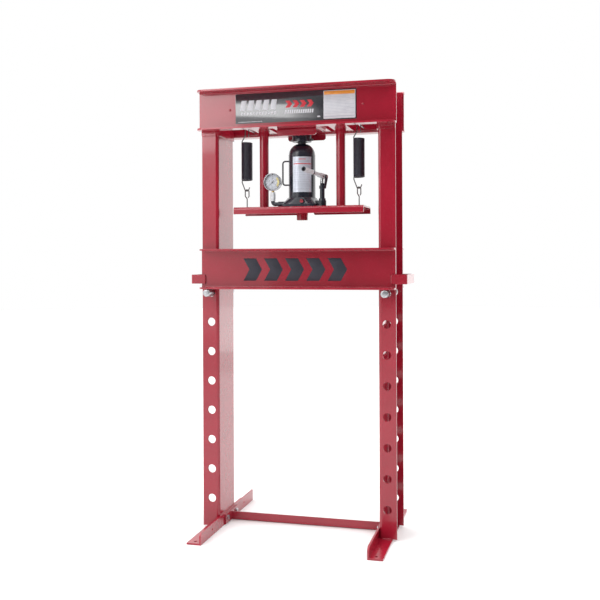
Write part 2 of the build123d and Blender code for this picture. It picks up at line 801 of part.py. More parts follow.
with BuildPart() as release_valve:
    valve_plane = facing_front(valve_x, -valve_boss_front, platform_top + valve_height)
    with BuildSketch(valve_plane):
        Circle(valve_stem_radius)
    extrude(amount=-valve_stem_length)
    with BuildSketch(valve_plane.offset(valve_head_gap)):
        Circle(valve_head_radius)
    extrude(amount=valve_head_length)
    with BuildSketch(valve_plane):
        Circle(valve_stem_radius)
    extrude(amount=valve_head_length / 2)
    with BuildSketch(valve_plane.offset(valve_head_gap + valve_head_length)):
        Rectangle(valve_slot_width, 2 * valve_head_radius)
        Rectangle(2 * valve_head_radius, valve_slot_width)
    extrude(amount=-valve_slot_depth, mode=Mode.SUBTRACT)
release_valve.part.label = "release_valve"
export_step(release_valve.part, "parts/release_valve.step")

# ================================================================ pump
# The lever works in an upright plane: local x points along the heading, local y up.
lever_plane = Plane(
    origin=(pump_x, pump_y, pump_pivot_z),
    x_dir=(heading_x, heading_y, 0),
    z_dir=(heading_y, -heading_x, 0),
)
cheek_inner = eye_half_width + cheek_gap
cheek_outer = cheek_inner + cheek_wall
ear_inner = cheek_outer + cheek_gap
ear_outer = ear_inner + ear_wall
barrel_top_z = platform_top + barrel_top

with BuildPart() as pump_barrel:
    with BuildSketch(pump_base.offset(barrel_bottom)):
        Circle(barrel_radius)
    extrude(amount=barrel_top - barrel_bottom)
    with BuildSketch(pump_base.offset(barrel_top)):
        Circle(plunger_radius + plunger_running_gap)
    extrude(amount=-plunger_depth - 2 * fulcrum_offset, mode=Mode.SUBTRACT)
pump_barrel.part.label = "pump_barrel"
export_step(pump_barrel.part, "parts/pump_barrel.step")

with BuildPart() as gland_nut:
    with BuildSketch(pump_base.offset(barrel_top)):
        RegularPolygon(gland_radius, 6)
        Circle(plunger_radius + plunger_running_gap, mode=Mode.SUBTRACT)
    extrude(amount=gland_height)
    chamfer(gland_nut.faces().sort_by(Axis.Z)[-1].outer_wire().edges(), gland_chamfer)
gland_nut.part.label = "gland_nut"
export_step(gland_nut.part, "parts/gland_nut.step")

# The fulcrum link is a clamp round the barrel with two ears that hold the fulcrum pin.
with BuildPart() as fulcrum_link:
    with BuildSketch(pump_base.offset(barrel_top)):
        Circle(ear_outer)
        Circle(barrel_radius + thread_gap, mode=Mode.SUBTRACT)
    extrude(amount=-ear_clamp_height)
    for ear_start in (ear_inner, -ear_outer):
        with BuildSketch(lever_plane.offset(ear_start)):
            with Locations((-fulcrum_offset, 0)):
                Circle(ear_radius)
            with Locations((-ear_radius / 2, barrel_top_z - ear_clamp_height / 2 - pump_pivot_z)):
                Rectangle(ear_radius, ear_clamp_height)
            make_hull()
            with Locations((-fulcrum_offset, 0)):
                Circle(fulcrum_pin_radius + thread_gap, mode=Mode.SUBTRACT)
        extrude(amount=ear_wall)
    with BuildSketch(pump_base.offset(barrel_top)):
        Circle(barrel_radius + thread_gap)
    extrude(amount=-ear_clamp_height, mode=Mode.SUBTRACT)
fulcrum_link.part.label = "fulcrum_link"
export_step(fulcrum_link.part, "parts/fulcrum_link.step")

with BuildPart() as fulcrum_pin:
    with BuildSketch(lever_plane.offset(-ear_outer)):
        with Locations((-fulcrum_offset, 0)):
            Circle(fulcrum_pin_radius)
    extrude(amount=2 * ear_outer)
    for end_start in (ear_outer, -ear_outer):
        with BuildSketch(lever_plane.offset(end_start)):
            with Locations((-fulcrum_offset, 0)):
                Circle(fulcrum_head_radius)
        extrude(amount=math.copysign(fulcrum_head_height, end_start))
fulcrum_pin.part.label = "fulcrum_pin"
export_step(fulcrum_pin.part, "parts/fulcrum_pin.step")

with BuildPart() as pump_plunger:
    with BuildSketch(pump_base.offset(barrel_top - plunger_depth)):
        Circle(plunger_radius)
    extrude(amount=plunger_depth + pivot_height - barrel_top)
    with BuildSketch(lever_plane.offset(-eye_half_width)):
        Circle(plunger_radius)
    extrude(amount=2 * eye_half_width)
    for start in (eye_half_width, -eye_half_width):
        with BuildSketch(lever_plane.offset(start)):
            Rectangle(4 * plunger_radius, 2 * gland_height)
        extrude(amount=math.copysign(plunger_radius, start), mode=Mode.SUBTRACT)
    with BuildSketch(lever_plane):
        Circle(plunger_pin_radius + thread_gap)
    extrude(amount=ear_outer, both=True, mode=Mode.SUBTRACT)
pump_plunger.part.label = "pump_plunger"
export_step(pump_plunger.part, "parts/pump_plunger.step")

with BuildPart() as plunger_pin:
    with BuildSketch(lever_plane):
        Circle(plunger_pin_radius)
    extrude(amount=cheek_outer, both=True)
plunger_pin.part.label = "plunger_pin"
export_step(plunger_pin.part, "parts/plunger_pin.step")

# The lever turns on the fulcrum pin. Its axis line starts there and rises a little.
fulcrum_plane = lever_plane.shift_origin(lever_plane.from_local_coords(Vector(-fulcrum_offset, 0, 0)))
arm_plane = spun(fulcrum_plane, lever_elevation)
tube_plane = Plane(origin=fulcrum_plane.origin, x_dir=arm_plane.z_dir, z_dir=arm_plane.x_dir)

with BuildPart() as pump_lever:
    for cheek_start in (cheek_inner, -cheek_outer):
        with BuildSketch(arm_plane.offset(cheek_start)):
            Circle(cheek_radius)
            with Locations((lever_neck_start + cheek_radius, 0)):
                Circle(lever_stub_radius)
            make_hull()
        extrude(amount=cheek_wall)
    with BuildSketch(tube_plane.offset(lever_neck_start)):
        Circle(lever_collar_radius)
    extrude(amount=cheek_radius)
    with BuildSketch(tube_plane.offset(lever_neck_start)):
        Circle(lever_stub_radius)
    extrude(amount=lever_stub_end - lever_neck_start)
    with BuildSketch(tube_plane.offset(lever_stub_end)):
        Circle(swivel_pivot_radius + swivel_running_gap)
    extrude(amount=-swivel_pivot_length - bore_end_gap, mode=Mode.SUBTRACT)
    with BuildSketch(fulcrum_plane):
        Circle(fulcrum_pin_radius + pin_running_gap)
        with Locations((fulcrum_offset + slot_length / 4, 0)):
            SlotCenterToCenter(slot_length, 2 * (plunger_pin_radius + slot_play))
    extrude(amount=ear_outer, both=True, mode=Mode.SUBTRACT)
pump_lever.part.label = "pump_lever"
export_step(pump_lever.part, "parts/pump_lever.step")

with BuildPart() as handle_socket:
    ring_start = lever_stub_end + swivel_face_gap
    with BuildSketch(tube_plane.offset(lever_stub_end - swivel_pivot_length)):
        Circle(swivel_pivot_radius)
    extrude(amount=swivel_pivot_length + swivel_face_gap + swivel_ring_length)
    with BuildSketch(tube_plane.offset(ring_start)):
        Circle(swivel_ring_radius)
    extrude(amount=swivel_ring_length)
    with BuildSketch(tube_plane.offset(ring_start)):
        Circle(socket_radius)
    extrude(amount=socket_end - ring_start)
    with BuildSketch(tube_plane.offset(socket_end)):
        Circle(socket_bore_radius)
    extrude(amount=-socket_bore_depth, mode=Mode.SUBTRACT)
handle_socket.part.label = "handle_socket"
export_step(handle_socket.part, "parts/handle_socket.step")

# ================================================================ pressure gauge
stem_plane = Plane(origin=(gauge_x, gauge_y, platform_top))
gauge_plane = facing_front(gauge_x, gauge_front_y, gauge_z)
dial_back = gauge_dial_set_back
with BuildPart() as gauge_case:
    with BuildSketch(gauge_plane):
        Circle(gauge_case_radius)
    extrude(amount=-(gauge_case_front + gauge_case_back))
    fillet(gauge_case.faces().sort_by(Axis.Y)[-1].edges(), gauge_case_edge)
    with BuildSketch(gauge_plane):
        Circle(gauge_case_radius - gauge_case_wall)
    extrude(amount=-dial_back, mode=Mode.SUBTRACT)
    with BuildSketch(gauge_plane):
        Circle(gauge_case_radius - gauge_case_wall - gauge_case_ledge)
    extrude(amount=-(gauge_case_front + gauge_case_back - gauge_case_wall), mode=Mode.SUBTRACT)
    with BuildSketch(stem_plane.offset(gauge_stem_bottom)):
        Circle(gauge_stem_radius + thread_gap)
    extrude(amount=gauge_height - gauge_stem_bottom, mode=Mode.SUBTRACT)
gauge_case.part.label = "gauge_case"
export_step(gauge_case.part, "parts/gauge_case.step")

with BuildPart() as gauge_dial:
    with BuildSketch(gauge_plane.offset(-dial_back)):
        Circle(gauge_dial_radius)
        Circle(needle_pivot_radius + guide_running_gap, mode=Mode.SUBTRACT)
    extrude(amount=gauge_dial_wall)
gauge_dial.part.label = "gauge_dial"
export_step(gauge_dial.part, "parts/gauge_dial.step")

with BuildPart() as gauge_lens:
    with BuildSketch(gauge_plane):
        Circle(gauge_lens_radius)
    extrude(amount=gauge_lens_wall)
gauge_lens.part.label = "gauge_lens"
export_step(gauge_lens.part, "parts/gauge_lens.step")

with BuildPart() as gauge_bezel:
    with BuildSketch(gauge_plane.offset(gauge_lens_wall + gauge_bezel_lip)):
        Circle(gauge_bezel_radius)
        Circle(gauge_bezel_inner, mode=Mode.SUBTRACT)
    extrude(amount=-gauge_bezel_lip)
    with BuildSketch(gauge_plane.offset(gauge_lens_wall)):
        Circle(gauge_bezel_radius)
        Circle(gauge_case_radius + gauge_fit_gap, mode=Mode.SUBTRACT)
    extrude(amount=-gauge_bezel_skirt)
    fillet(gauge_bezel.faces().sort_by(Axis.Y)[0].outer_wire().edges(), gauge_bezel_edge)
gauge_bezel.part.label = "gauge_bezel"
export_step(gauge_bezel.part, "parts/gauge_bezel.step")

# The needle is a flat pointer on a small hub, with a pivot through the dial.
needle_plane = facing_front(gauge_x, dial_front_y - needle_dial_gap, gauge_z)
with BuildPart() as gauge_needle:
    with BuildSketch(spun(needle_plane, needle_angle)):
        with BuildLine():
            Polyline(
                (needle_tip, 0),
                (0, needle_wall),
                (-needle_tail, 1.5 * needle_wall),
                (-needle_tail, -1.5 * needle_wall),
                (0, -needle_wall),
                close=True,
            )
        make_face()
        Circle(needle_hub_radius)
    extrude(amount=needle_wall)
    with BuildSketch(needle_plane):
        Circle(needle_pivot_radius)
    extrude(amount=-needle_dial_gap - 2 * gauge_dial_wall)
gauge_needle.part.label = "gauge_needle"
export_step(gauge_needle.part, "parts/gauge_needle.step")

with BuildPart() as gauge_stem:
    with BuildSketch(stem_plane.offset(gauge_stem_bottom)):
        Circle(gauge_stem_radius)
    extrude(amount=gauge_height - gauge_stem_bottom - gauge_case_radius + gauge_case_wall)
gauge_stem.part.label = "gauge_stem"
export_step(gauge_stem.part, "parts/gauge_stem.step")

with BuildPart() as gauge_adapter:
    with BuildSketch(stem_plane.offset(gauge_adapter_bottom)):
        Circle(gauge_adapter_radius)
    extrude(amount=gauge_stem_bottom - gauge_adapter_bottom)
    with BuildSketch(stem_plane.offset((gauge_adapter_bottom + gauge_stem_bottom) / 2)):
        RegularPolygon(gauge_adapter_hex, 6)
    extrude(amount=(gauge_stem_bottom - gauge_adapter_bottom) / 4, both=True)
gauge_adapter.part.label = "gauge_adapter"
export_step(gauge_adapter.part, "parts/gauge_adapter.step")

with BuildPart() as gauge_elbow:
    with BuildLine(Plane.XZ.offset(-gauge_y)) as elbow_route:
        FilletPolyline(
            (gauge_x, platform_top + gauge_adapter_bottom),
            (gauge_x, platform_top + elbow_height),
            (-port_boss_end, platform_top + elbow_height),
            radius=elbow_bend,
        )
    with BuildSketch(Plane(origin=elbow_route.line @ 0, z_dir=elbow_route.line % 0)):
        Circle(elbow_radius)
    sweep()
gauge_elbow.part.label = "gauge_elbow"
export_step(gauge_elbow.part, "parts/gauge_elbow.step")

# ================================================================ return springs
# Each spring is one wire: a hook, the close-wound coil and a second hook. It is kept as
# three pieces because the coil stretches while its two hooks stay rigid.
coil_x = -spring_radius + wire_radius
for side, sign in SIDES:
    with BuildPart() as spring:
        with BuildSketch(Plane.XY.offset(spring_bottom)):
            with Locations((sign * spring_x, 0)):
                Circle(spring_radius)
                Circle(spring_radius - 2 * wire_radius, mode=Mode.SUBTRACT)
        extrude(amount=spring_length)
    spring.part.label = f"{side}_spring"
    export_step(spring.part, f"parts/{side}_spring.step")

with BuildPart() as spring_top_hooks:
    for side, sign in SIDES:
        bend_z = hanger_rod_z + hanger_rod_radius + wire_radius - top_hook_radius
        with BuildLine(facing_front(sign * spring_x, 0, 0)) as hook_route:
            FilletPolyline(
                (coil_x, spring_top),
                (coil_x, spring_top + 2 * wire_radius),
                (-top_hook_radius, spring_top + 12 * wire_radius),
                (-top_hook_radius, bend_z + top_hook_radius),
                (top_hook_radius, bend_z + top_hook_radius),
                (top_hook_radius, bend_z - top_hook_tip_drop),
                radius=[
                    1.5 * wire_radius,
                    top_hook_shoulder,
                    top_hook_radius * bend_share,
                    top_hook_radius * bend_share,
                ],
            )
        with BuildSketch(Plane(origin=hook_route.line @ 0, z_dir=hook_route.line % 0)):
            Circle(wire_radius)
        sweep()
spring_top_hooks.part.label = "spring_top_hooks"
export_step(spring_top_hooks.part, "parts/spring_top_hooks.step")

hook_z = spring_bottom - bottom_hook_drop
with BuildPart() as spring_bottom_hooks:
    for side, sign in SIDES:
        with BuildLine(facing_front(sign * spring_x, 0, 0)) as hook_route:
            FilletPolyline(
                (coil_x, spring_bottom),
                (coil_x, spring_bottom - 3 * wire_radius),
                (-top_hook_radius, hook_z),
                (top_hook_radius * 0.7, hook_z),
                (top_hook_radius * 1.5, hook_z + 2 * top_hook_radius),
                radius=list(bottom_hook_bends),
            )
        with BuildSketch(Plane(origin=hook_route.line @ 0, z_dir=hook_route.line % 0)):
            Circle(wire_radius)
        sweep()
spring_bottom_hooks.part.label = "spring_bottom_hooks"
export_step(spring_bottom_hooks.part, "parts/spring_bottom_hooks.step")

# The anchor eyes stand in the platform. Each is turned, so that it links with its hook.
eye_top = hook_z + 2 * wire_radius + eye_top_gap
eye_bottom = eye_top - eye_height
with BuildPart() as spring_anchor_eyes:
    for side, sign in SIDES:
        with BuildLine(facing_front(sign * spring_x, 0, 0, eye_turn)) as eye_route:
            FilletPolyline(
                (0, platform_top - eye_shank_below),
                (0, eye_bottom),
                (-eye_half, eye_bottom + eye_half),
                (-eye_half, eye_top),
                (eye_half, eye_top),
                (eye_half, eye_bottom + eye_half),
                (3 * wire_radius, eye_bottom + eye_half / 2),
                radius=list(eye_bends),
            )
        with BuildSketch(Plane(origin=eye_route.line @ 0, z_dir=eye_route.line % 0)):
            Circle(wire_radius)
        sweep()
spring_anchor_eyes.part.label = "spring_anchor_eyes"
export_step(spring_anchor_eyes.part, "parts/spring_anchor_eyes.step")

with BuildPart() as spring_anchor_nuts:
    with BuildSketch(Plane.XY.offset(web_under - anchor_nut_height)):
        with Locations((-spring_x, 0), (spring_x, 0)):
            RegularPolygon(anchor_nut_radius, 6)
            Circle(wire_radius + thread_gap, mode=Mode.SUBTRACT)
    extrude(amount=anchor_nut_height)
spring_anchor_nuts.part.label = "spring_anchor_nuts"
export_step(spring_anchor_nuts.part, "parts/spring_anchor_nuts.step")

# ================================================================ bed
for face, sign in FACES:
    with BuildPart() as bed_channel:
        end = Plane(
            origin=(-bed_length / 2, sign * bed_back, bed_bottom + bed_height / 2),
            x_dir=(0, sign, 0),
            z_dir=(1, 0, 0),
        )
        extrude(channel_section(end, bed_height, bed_flange, bed_wall, bend_radius), amount=bed_length)
        tips = bed_channel.edges().filter_by(Axis.Z).group_by(Axis.Y)
        fillet(tips[0] if sign < 0 else tips[-1], tip_corner_radius)
    bed_channel.part.label = f"{face}_bed_channel"
    export_step(bed_channel.part, f"parts/{face}_bed_channel.step")

with BuildPart() as bed_straps:
    for side, sign in SIDES:
        hoop = Plane(
            origin=(sign * strap_reach, 0, bed_bottom + strap_above_bed_bottom),
            x_dir=(-sign, 0, 0),
            z_dir=(0, 0, 1),
        )
        strap_leg = strap_reach - bed_length / 2 + strap_overlap
        profile = channel_section(hoop, 2 * (bed_front + strap_wall), strap_leg, strap_wall, strap_bend)
        extrude(profile, amount=strap_height)
bed_straps.part.label = "bed_straps"
export_step(bed_straps.part, "parts/bed_straps.step")

for side, sign in SIDES:
    with BuildPart() as bed_pin:
        with BuildSketch(Plane.XZ):
            with Locations((sign * pin_hole_x, bed_pin_z)):
                Circle(bed_pin_radius)
        extrude(amount=upright_front + bed_pin_reach, both=True)
        chamfer(bed_pin.edges().filter_by(GeomType.CIRCLE), bed_pin_chamfer)
    bed_pin.part.label = f"{side}_bed_pin"
    export_step(bed_pin.part, f"parts/{side}_bed_pin.step")
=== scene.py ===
import json
import math
import random

import bmesh
import bpy
from mathutils import Matrix, Vector

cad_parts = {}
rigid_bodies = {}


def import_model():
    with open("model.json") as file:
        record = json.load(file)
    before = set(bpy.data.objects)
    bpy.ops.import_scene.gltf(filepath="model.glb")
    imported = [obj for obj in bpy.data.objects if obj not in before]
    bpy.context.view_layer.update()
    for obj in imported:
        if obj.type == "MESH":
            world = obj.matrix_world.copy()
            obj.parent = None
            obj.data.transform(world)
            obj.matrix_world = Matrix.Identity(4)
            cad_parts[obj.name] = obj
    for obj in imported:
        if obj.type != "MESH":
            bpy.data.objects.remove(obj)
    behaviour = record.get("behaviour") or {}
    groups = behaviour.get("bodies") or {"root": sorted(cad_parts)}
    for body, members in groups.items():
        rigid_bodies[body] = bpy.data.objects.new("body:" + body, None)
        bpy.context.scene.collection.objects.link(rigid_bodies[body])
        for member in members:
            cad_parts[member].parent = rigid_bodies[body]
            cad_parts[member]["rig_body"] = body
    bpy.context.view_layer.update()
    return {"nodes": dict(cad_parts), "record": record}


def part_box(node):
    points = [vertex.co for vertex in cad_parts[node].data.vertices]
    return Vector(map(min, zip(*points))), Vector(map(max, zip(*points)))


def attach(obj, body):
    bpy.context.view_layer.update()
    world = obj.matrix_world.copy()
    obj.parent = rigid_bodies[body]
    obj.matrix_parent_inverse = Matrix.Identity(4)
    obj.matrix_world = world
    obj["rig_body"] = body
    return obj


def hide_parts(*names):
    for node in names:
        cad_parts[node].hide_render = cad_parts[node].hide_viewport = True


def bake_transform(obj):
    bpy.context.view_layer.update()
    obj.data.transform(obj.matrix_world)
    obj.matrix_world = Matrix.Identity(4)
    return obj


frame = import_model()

MM = 0.001
scene = bpy.context.scene
scene.view_settings.view_transform = "Standard"
scene.view_settings.look = "None"


# ---------------------------------------------------------------- camera, light and floor
camera_data = bpy.data.cameras.new("camera")
camera_data.sensor_width = 36.0
camera_data.lens = 51.5
camera_data.shift_y = -0.0678
camera_data.clip_end = 100.0
camera = bpy.data.objects.new("camera", camera_data)
camera.location = (0.768, -2.943, 0.947)
camera.rotation_euler = (math.radians(90.0), math.radians(0.24), math.radians(14.79))
scene.collection.objects.link(camera)
scene.camera = camera


def softbox(name, place, target, width, height, radiance):
    """A rectangular light of a size in metres, aimed at the target and unseen by the camera."""
    light = bpy.data.lights.new(name, "AREA")
    light.shape = "RECTANGLE"
    light.size = width
    light.size_y = height
    light.energy = radiance * math.pi * width * height
    obj = bpy.data.objects.new(name, light)
    scene.collection.objects.link(obj)
    obj.location = place
    obj.rotation_euler = (Vector(target) - Vector(place)).to_track_quat("-Z", "Y").to_euler()
    obj.visible_camera = False


softbox("key_light", (1.7, -2.3, 4.0), (0.0, 0.0, 0.9), 2.0, 2.0, 1.8)
softbox("left_light", (-3.2, -1.4, 2.4), (0.0, 0.0, 0.8), 1.8, 2.2, 1.3)
softbox("top_light", (0.0, -0.40, 4.2), (0.0, 0.0, 0.8), 2.6, 2.2, 3.5)
softbox("head_glare", (-2.22, -3.25, 2.60), (-2.22, 0.0, 2.60), 1.9, 1.7, 4.8)
softbox("head_glare_step", (-1.12, -3.25, 2.45), (-1.12, 0.0, 2.45), 0.30, 1.3, 1.6)
softbox("low_glare", (-1.80, -3.25, 1.05), (-1.80, 0.0, 1.05), 1.5, 1.3, 0.7)
softbox("back_panel", (1.5, 3.2, 1.7), (-0.2, 0.0, 0.6), 4.0, 3.2, 0.9)

world = bpy.data.worlds.new("studio")
scene.world = world
world.use_nodes = True
tree = world.node_tree
tree.nodes.clear()
coords = tree.nodes.new("ShaderNodeTexCoord")
split = tree.nodes.new("ShaderNodeSeparateXYZ")
tree.links.new(coords.outputs["Generated"], split.inputs[0])


def sky_ramp(axis, start, end, low, high):
    """Light that rises smoothly from low to high along one axis of the sky's direction."""
    node = tree.nodes.new("ShaderNodeMapRange")
    node.interpolation_type = "SMOOTHSTEP"
    node.inputs["From Min"].default_value = start
    node.inputs["From Max"].default_value = end
    node.inputs["To Min"].default_value = low
    node.inputs["To Max"].default_value = high
    tree.links.new(split.outputs[axis], node.inputs["Value"])
    return node.outputs[0]


def add(first, second):
    node = tree.nodes.new("ShaderNodeMath")
    node.operation = "ADD"
    tree.links.new(first, node.inputs[0])
    tree.links.new(second, node.inputs[1])
    return node.outputs[0]


back_light = sky_ramp("Y", -0.85, 0.35, 0.06, 0.72)
side_light = sky_ramp("X", -0.22, -0.42, 0.0, 0.80)
high_light = sky_ramp("Z", 0.30, 0.85, 0.0, 1.6)
path = tree.nodes.new("ShaderNodeLightPath")
lit = tree.nodes.new("ShaderNodeBackground")
seen = tree.nodes.new("ShaderNodeBackground")
seen.inputs["Strength"].default_value = 1.0
seen.inputs["Color"].default_value = (1.0, 1.0, 1.0, 1.0)
mix = tree.nodes.new("ShaderNodeMixShader")
out = tree.nodes.new("ShaderNodeOutputWorld")
tree.links.new(add(add(back_light, side_light), high_light), lit.inputs["Strength"])
tree.links.new(path.outputs["Is Camera Ray"], mix.inputs[0])
tree.links.new(lit.outputs[0], mix.inputs[1])
tree.links.new(seen.outputs[0], mix.inputs[2])
tree.links.new(mix.outputs[0], out.inputs[0])


# ---------------------------------------------------------------- materials
def finish(
    name,
    light,
    dark,
    rough,
    metallic=0.0,
    mottle=9.0,
    grain=420.0,
    bump=0.00004,
    stretch=(1.0, 1.0, 1.0),
    coat=0.0,
    coat_rough=0.05,
    specular=0.5,
    alpha=1.0,
    edge_wear_and_highlight=None,
):
    """A procedural finish: mottled colour, uneven gloss and a fine grain. The edge colour lightens the finish
    along sharp edges: partly worn paint, partly a painted highlight where the edges catch the light.
    """
    material = bpy.data.materials.new(name)
    material.use_nodes = True
    nodes = material.node_tree.nodes
    links = material.node_tree.links
    nodes.clear()
    output = nodes.new("ShaderNodeOutputMaterial")
    shader = nodes.new("ShaderNodeBsdfPrincipled")
    links.new(shader.outputs[0], output.inputs[0])
    place = nodes.new("ShaderNodeTexCoord")
    mapping = nodes.new("ShaderNodeMapping")
    mapping.inputs["Scale"].default_value = stretch
    links.new(place.outputs["Object"], mapping.inputs[0])
    broad = nodes.new("ShaderNodeTexNoise")
    broad.inputs["Scale"].default_value = mottle
    broad.inputs["Detail"].default_value = 5.0
    broad.inputs["Roughness"].default_value = 0.6
    links.new(mapping.outputs[0], broad.inputs["Vector"])
    ramp = nodes.new("ShaderNodeValToRGB")
    ramp.color_ramp.elements[0].position = 0.32
    ramp.color_ramp.elements[0].color = (*dark, 1.0)
    ramp.color_ramp.elements[1].position = 0.68
    ramp.color_ramp.elements[1].color = (*light, 1.0)
    links.new(broad.outputs["Fac"], ramp.inputs[0])
    colour = ramp.outputs[0]
    # painted highlight: the colour turns paler along sharp edges, where the bevelled normal leaves the true
    # one; this is partly worn paint and partly light caught on the edges
    if edge_wear_and_highlight:
        rounded = nodes.new("ShaderNodeBevel")
        rounded.samples = 4
        rounded.inputs["Radius"].default_value = 0.0009
        facing = nodes.new("ShaderNodeNewGeometry")
        dot = nodes.new("ShaderNodeVectorMath")
        dot.operation = "DOT_PRODUCT"
        links.new(rounded.outputs[0], dot.inputs[0])
        links.new(facing.outputs["Normal"], dot.inputs[1])
        edge_wear_and_highlight_mask = nodes.new("ShaderNodeMapRange")
        edge_wear_and_highlight_mask.inputs["From Min"].default_value = 0.985
        edge_wear_and_highlight_mask.inputs["From Max"].default_value = 0.90
        edge_wear_and_highlight_mask.inputs["To Min"].default_value = 0.0
        edge_wear_and_highlight_mask.inputs["To Max"].default_value = edge_wear_and_highlight[1]
        links.new(dot.outputs["Value"], edge_wear_and_highlight_mask.inputs["Value"])
        wear_and_highlight_mix = nodes.new("ShaderNodeMix")
        wear_and_highlight_mix.data_type = "RGBA"
        wear_and_highlight_mix.inputs["B"].default_value = (*edge_wear_and_highlight[0], 1.0)
        links.new(edge_wear_and_highlight_mask.outputs[0], wear_and_highlight_mix.inputs["Factor"])
        links.new(colour, wear_and_highlight_mix.inputs["A"])
        colour = wear_and_highlight_mix.outputs["Result"]
    links.new(colour, shader.inputs["Base Color"])
    fine = nodes.new("ShaderNodeTexNoise")
    fine.inputs["Scale"].default_value = grain
    fine.inputs["Detail"].default_value = 3.0
    links.new(mapping.outputs[0], fine.inputs["Vector"])
    gloss = nodes.new("ShaderNodeMapRange")
    gloss.inputs["From Min"].default_value = 0.3
    gloss.inputs["From Max"].default_value = 0.7
    gloss.inputs["To Min"].default_value = rough[0]
    gloss.inputs["To Max"].default_value = rough[1]
    links.new(fine.outputs["Fac"], gloss.inputs["Value"])
    links.new(gloss.outputs[0], shader.inputs["Roughness"])
    relief = nodes.new("ShaderNodeBump")
    relief.inputs["Distance"].default_value = bump
    relief.inputs["Strength"].default_value = 1.0
    links.new(fine.outputs["Fac"], relief.inputs["Height"])
    links.new(relief.outputs[0], shader.inputs["Normal"])
    shader.inputs["Metallic"].default_value = metallic
    shader.inputs["Specular IOR Level"].default_value = specular
    shader.inputs["Coat Weight"].default_value = coat
    shader.inputs["Coat Roughness"].default_value = coat_rough
    shader.inputs["Alpha"].default_value = alpha
    return material


# pale pink along the red edges: partly worn paint, partly a painted highlight
RED_EDGE_WEAR_AND_HIGHLIGHT = ((0.62, 0.16, 0.19), 0.40)
FINISHES = {
    "red_paint": finish(
        "red_enamel",
        (0.330, 0.0085, 0.026),
        (0.280, 0.0065, 0.021),
        (0.16, 0.28),
        grain=330.0,
        bump=0.000014,
        coat=0.5,
        coat_rough=0.06,
        edge_wear_and_highlight=RED_EDGE_WEAR_AND_HIGHLIGHT,
    ),
    "jack_black": finish(
        "black_enamel",
        (0.013, 0.015, 0.026),
        (0.008, 0.009, 0.016),
        (0.20, 0.34),
        mottle=60.0,
        grain=900.0,
        bump=0.00006,
        coat=0.25,
        coat_rough=0.15,
        # paler grey along the black edges: partly wear, partly a painted highlight
        edge_wear_and_highlight=((0.12, 0.12, 0.14), 0.5),
    ),
    "spring_black": finish(
        "coated_spring_wire",
        (0.026, 0.026, 0.042),
        (0.015, 0.015, 0.026),
        (0.34, 0.50),
        mottle=90.0,
        grain=1500.0,
        bump=0.00002,
    ),
    "zinc": finish(
        "zinc_plate",
        (0.56, 0.56, 0.58),
        (0.38, 0.39, 0.41),
        (0.24, 0.40),
        metallic=1.0,
        mottle=160.0,
        grain=1400.0,
        bump=0.00002,
    ),
    "hook_steel": finish(
        "oiled_steel_wire",
        (0.20, 0.19, 0.19),
        (0.10, 0.095, 0.095),
        (0.26, 0.44),
        metallic=0.9,
        mottle=220.0,
        grain=1800.0,
        bump=0.00002,
    ),
    "ram_steel": finish(
        "ground_steel",
        (0.70, 0.70, 0.71),
        (0.50, 0.50, 0.52),
        (0.10, 0.24),
        metallic=1.0,
        mottle=40.0,
        grain=1500.0,
        stretch=(0.15, 0.15, 2.5),
        bump=0.00001,
    ),
    "bezel_chrome": finish(
        "polished_bezel",
        (0.50, 0.51, 0.54),
        (0.38, 0.39, 0.42),
        (0.12, 0.24),
        metallic=1.0,
        mottle=120.0,
        grain=1600.0,
        bump=0.00001,
    ),
    "plated_socket": finish(
        "dull_plate",
        (0.66, 0.68, 0.70),
        (0.50, 0.52, 0.54),
        (0.30, 0.45),
        metallic=0.15,
        mottle=140.0,
        grain=1200.0,
        bump=0.00003,
    ),
    "valve_red": finish(
        "valve_enamel",
        (0.42, 0.016, 0.035),
        (0.32, 0.010, 0.026),
        (0.25, 0.4),
        mottle=200.0,
        grain=1200.0,
        coat=0.3,
        # pale pink along the valve's edges: partly wear, partly a painted highlight
        edge_wear_and_highlight=((0.75, 0.35, 0.35), 0.4),
    ),
    "dial_white": finish(
        "printed_dial",
        (0.52, 0.54, 0.60),
        (0.46, 0.48, 0.54),
        (0.45, 0.6),
        mottle=60.0,
        grain=1500.0,
        bump=0.00001,
    ),
    "needle_black": finish(
        "pointer_black",
        (0.018, 0.018, 0.02),
        (0.010, 0.010, 0.012),
        (0.4, 0.55),
        mottle=300.0,
        grain=1500.0,
        bump=0.00001,
    ),
    "gauge_glass": finish(
        "clear_lens",
        (0.95, 0.97, 0.98),
        (0.92, 0.94, 0.96),
        (0.02, 0.05),
        mottle=30.0,
        grain=700.0,
        bump=0.000004,
        alpha=0.06,
        specular=0.4,
    ),
    "brass": finish(
        "turned_brass",
        (0.70, 0.50, 0.22),
        (0.55, 0.38, 0.15),
        (0.2, 0.36),
        metallic=1.0,
        mottle=200.0,
        grain=1500.0,
        bump=0.00002,
    ),
    "seal_rubber": finish(
        "rubber",
        (0.018, 0.018, 0.018),
        (0.010, 0.010, 0.010),
        (0.6, 0.8),
        mottle=150.0,
        grain=1200.0,
        bump=0.00004,
    ),
    "black_oxide": finish(
        "blackened_steel",
        (0.030, 0.031, 0.038),
        (0.015, 0.016, 0.021),
        (0.28, 0.45),
        metallic=0.3,
        mottle=120.0,
        grain=1200.0,
        bump=0.00003,
    ),
}
PRINT_BLACK = finish(
    "printed_panel", (0.017, 0.017, 0.026), (0.012, 0.012, 0.019), (0.13, 0.19), mottle=25.0, bump=0.000002,
    coat=1.0, coat_rough=0.10, specular=0.8,
)
PRINT_WHITE = finish(
    "printed_white", (0.62, 0.63, 0.66), (0.54, 0.55, 0.59), (0.3, 0.45), mottle=45.0, bump=0.00001
)
PRINT_GREY = finish(
    "printed_grey", (0.42, 0.44, 0.50), (0.36, 0.38, 0.44), (0.35, 0.5), mottle=60.0, bump=0.00001
)
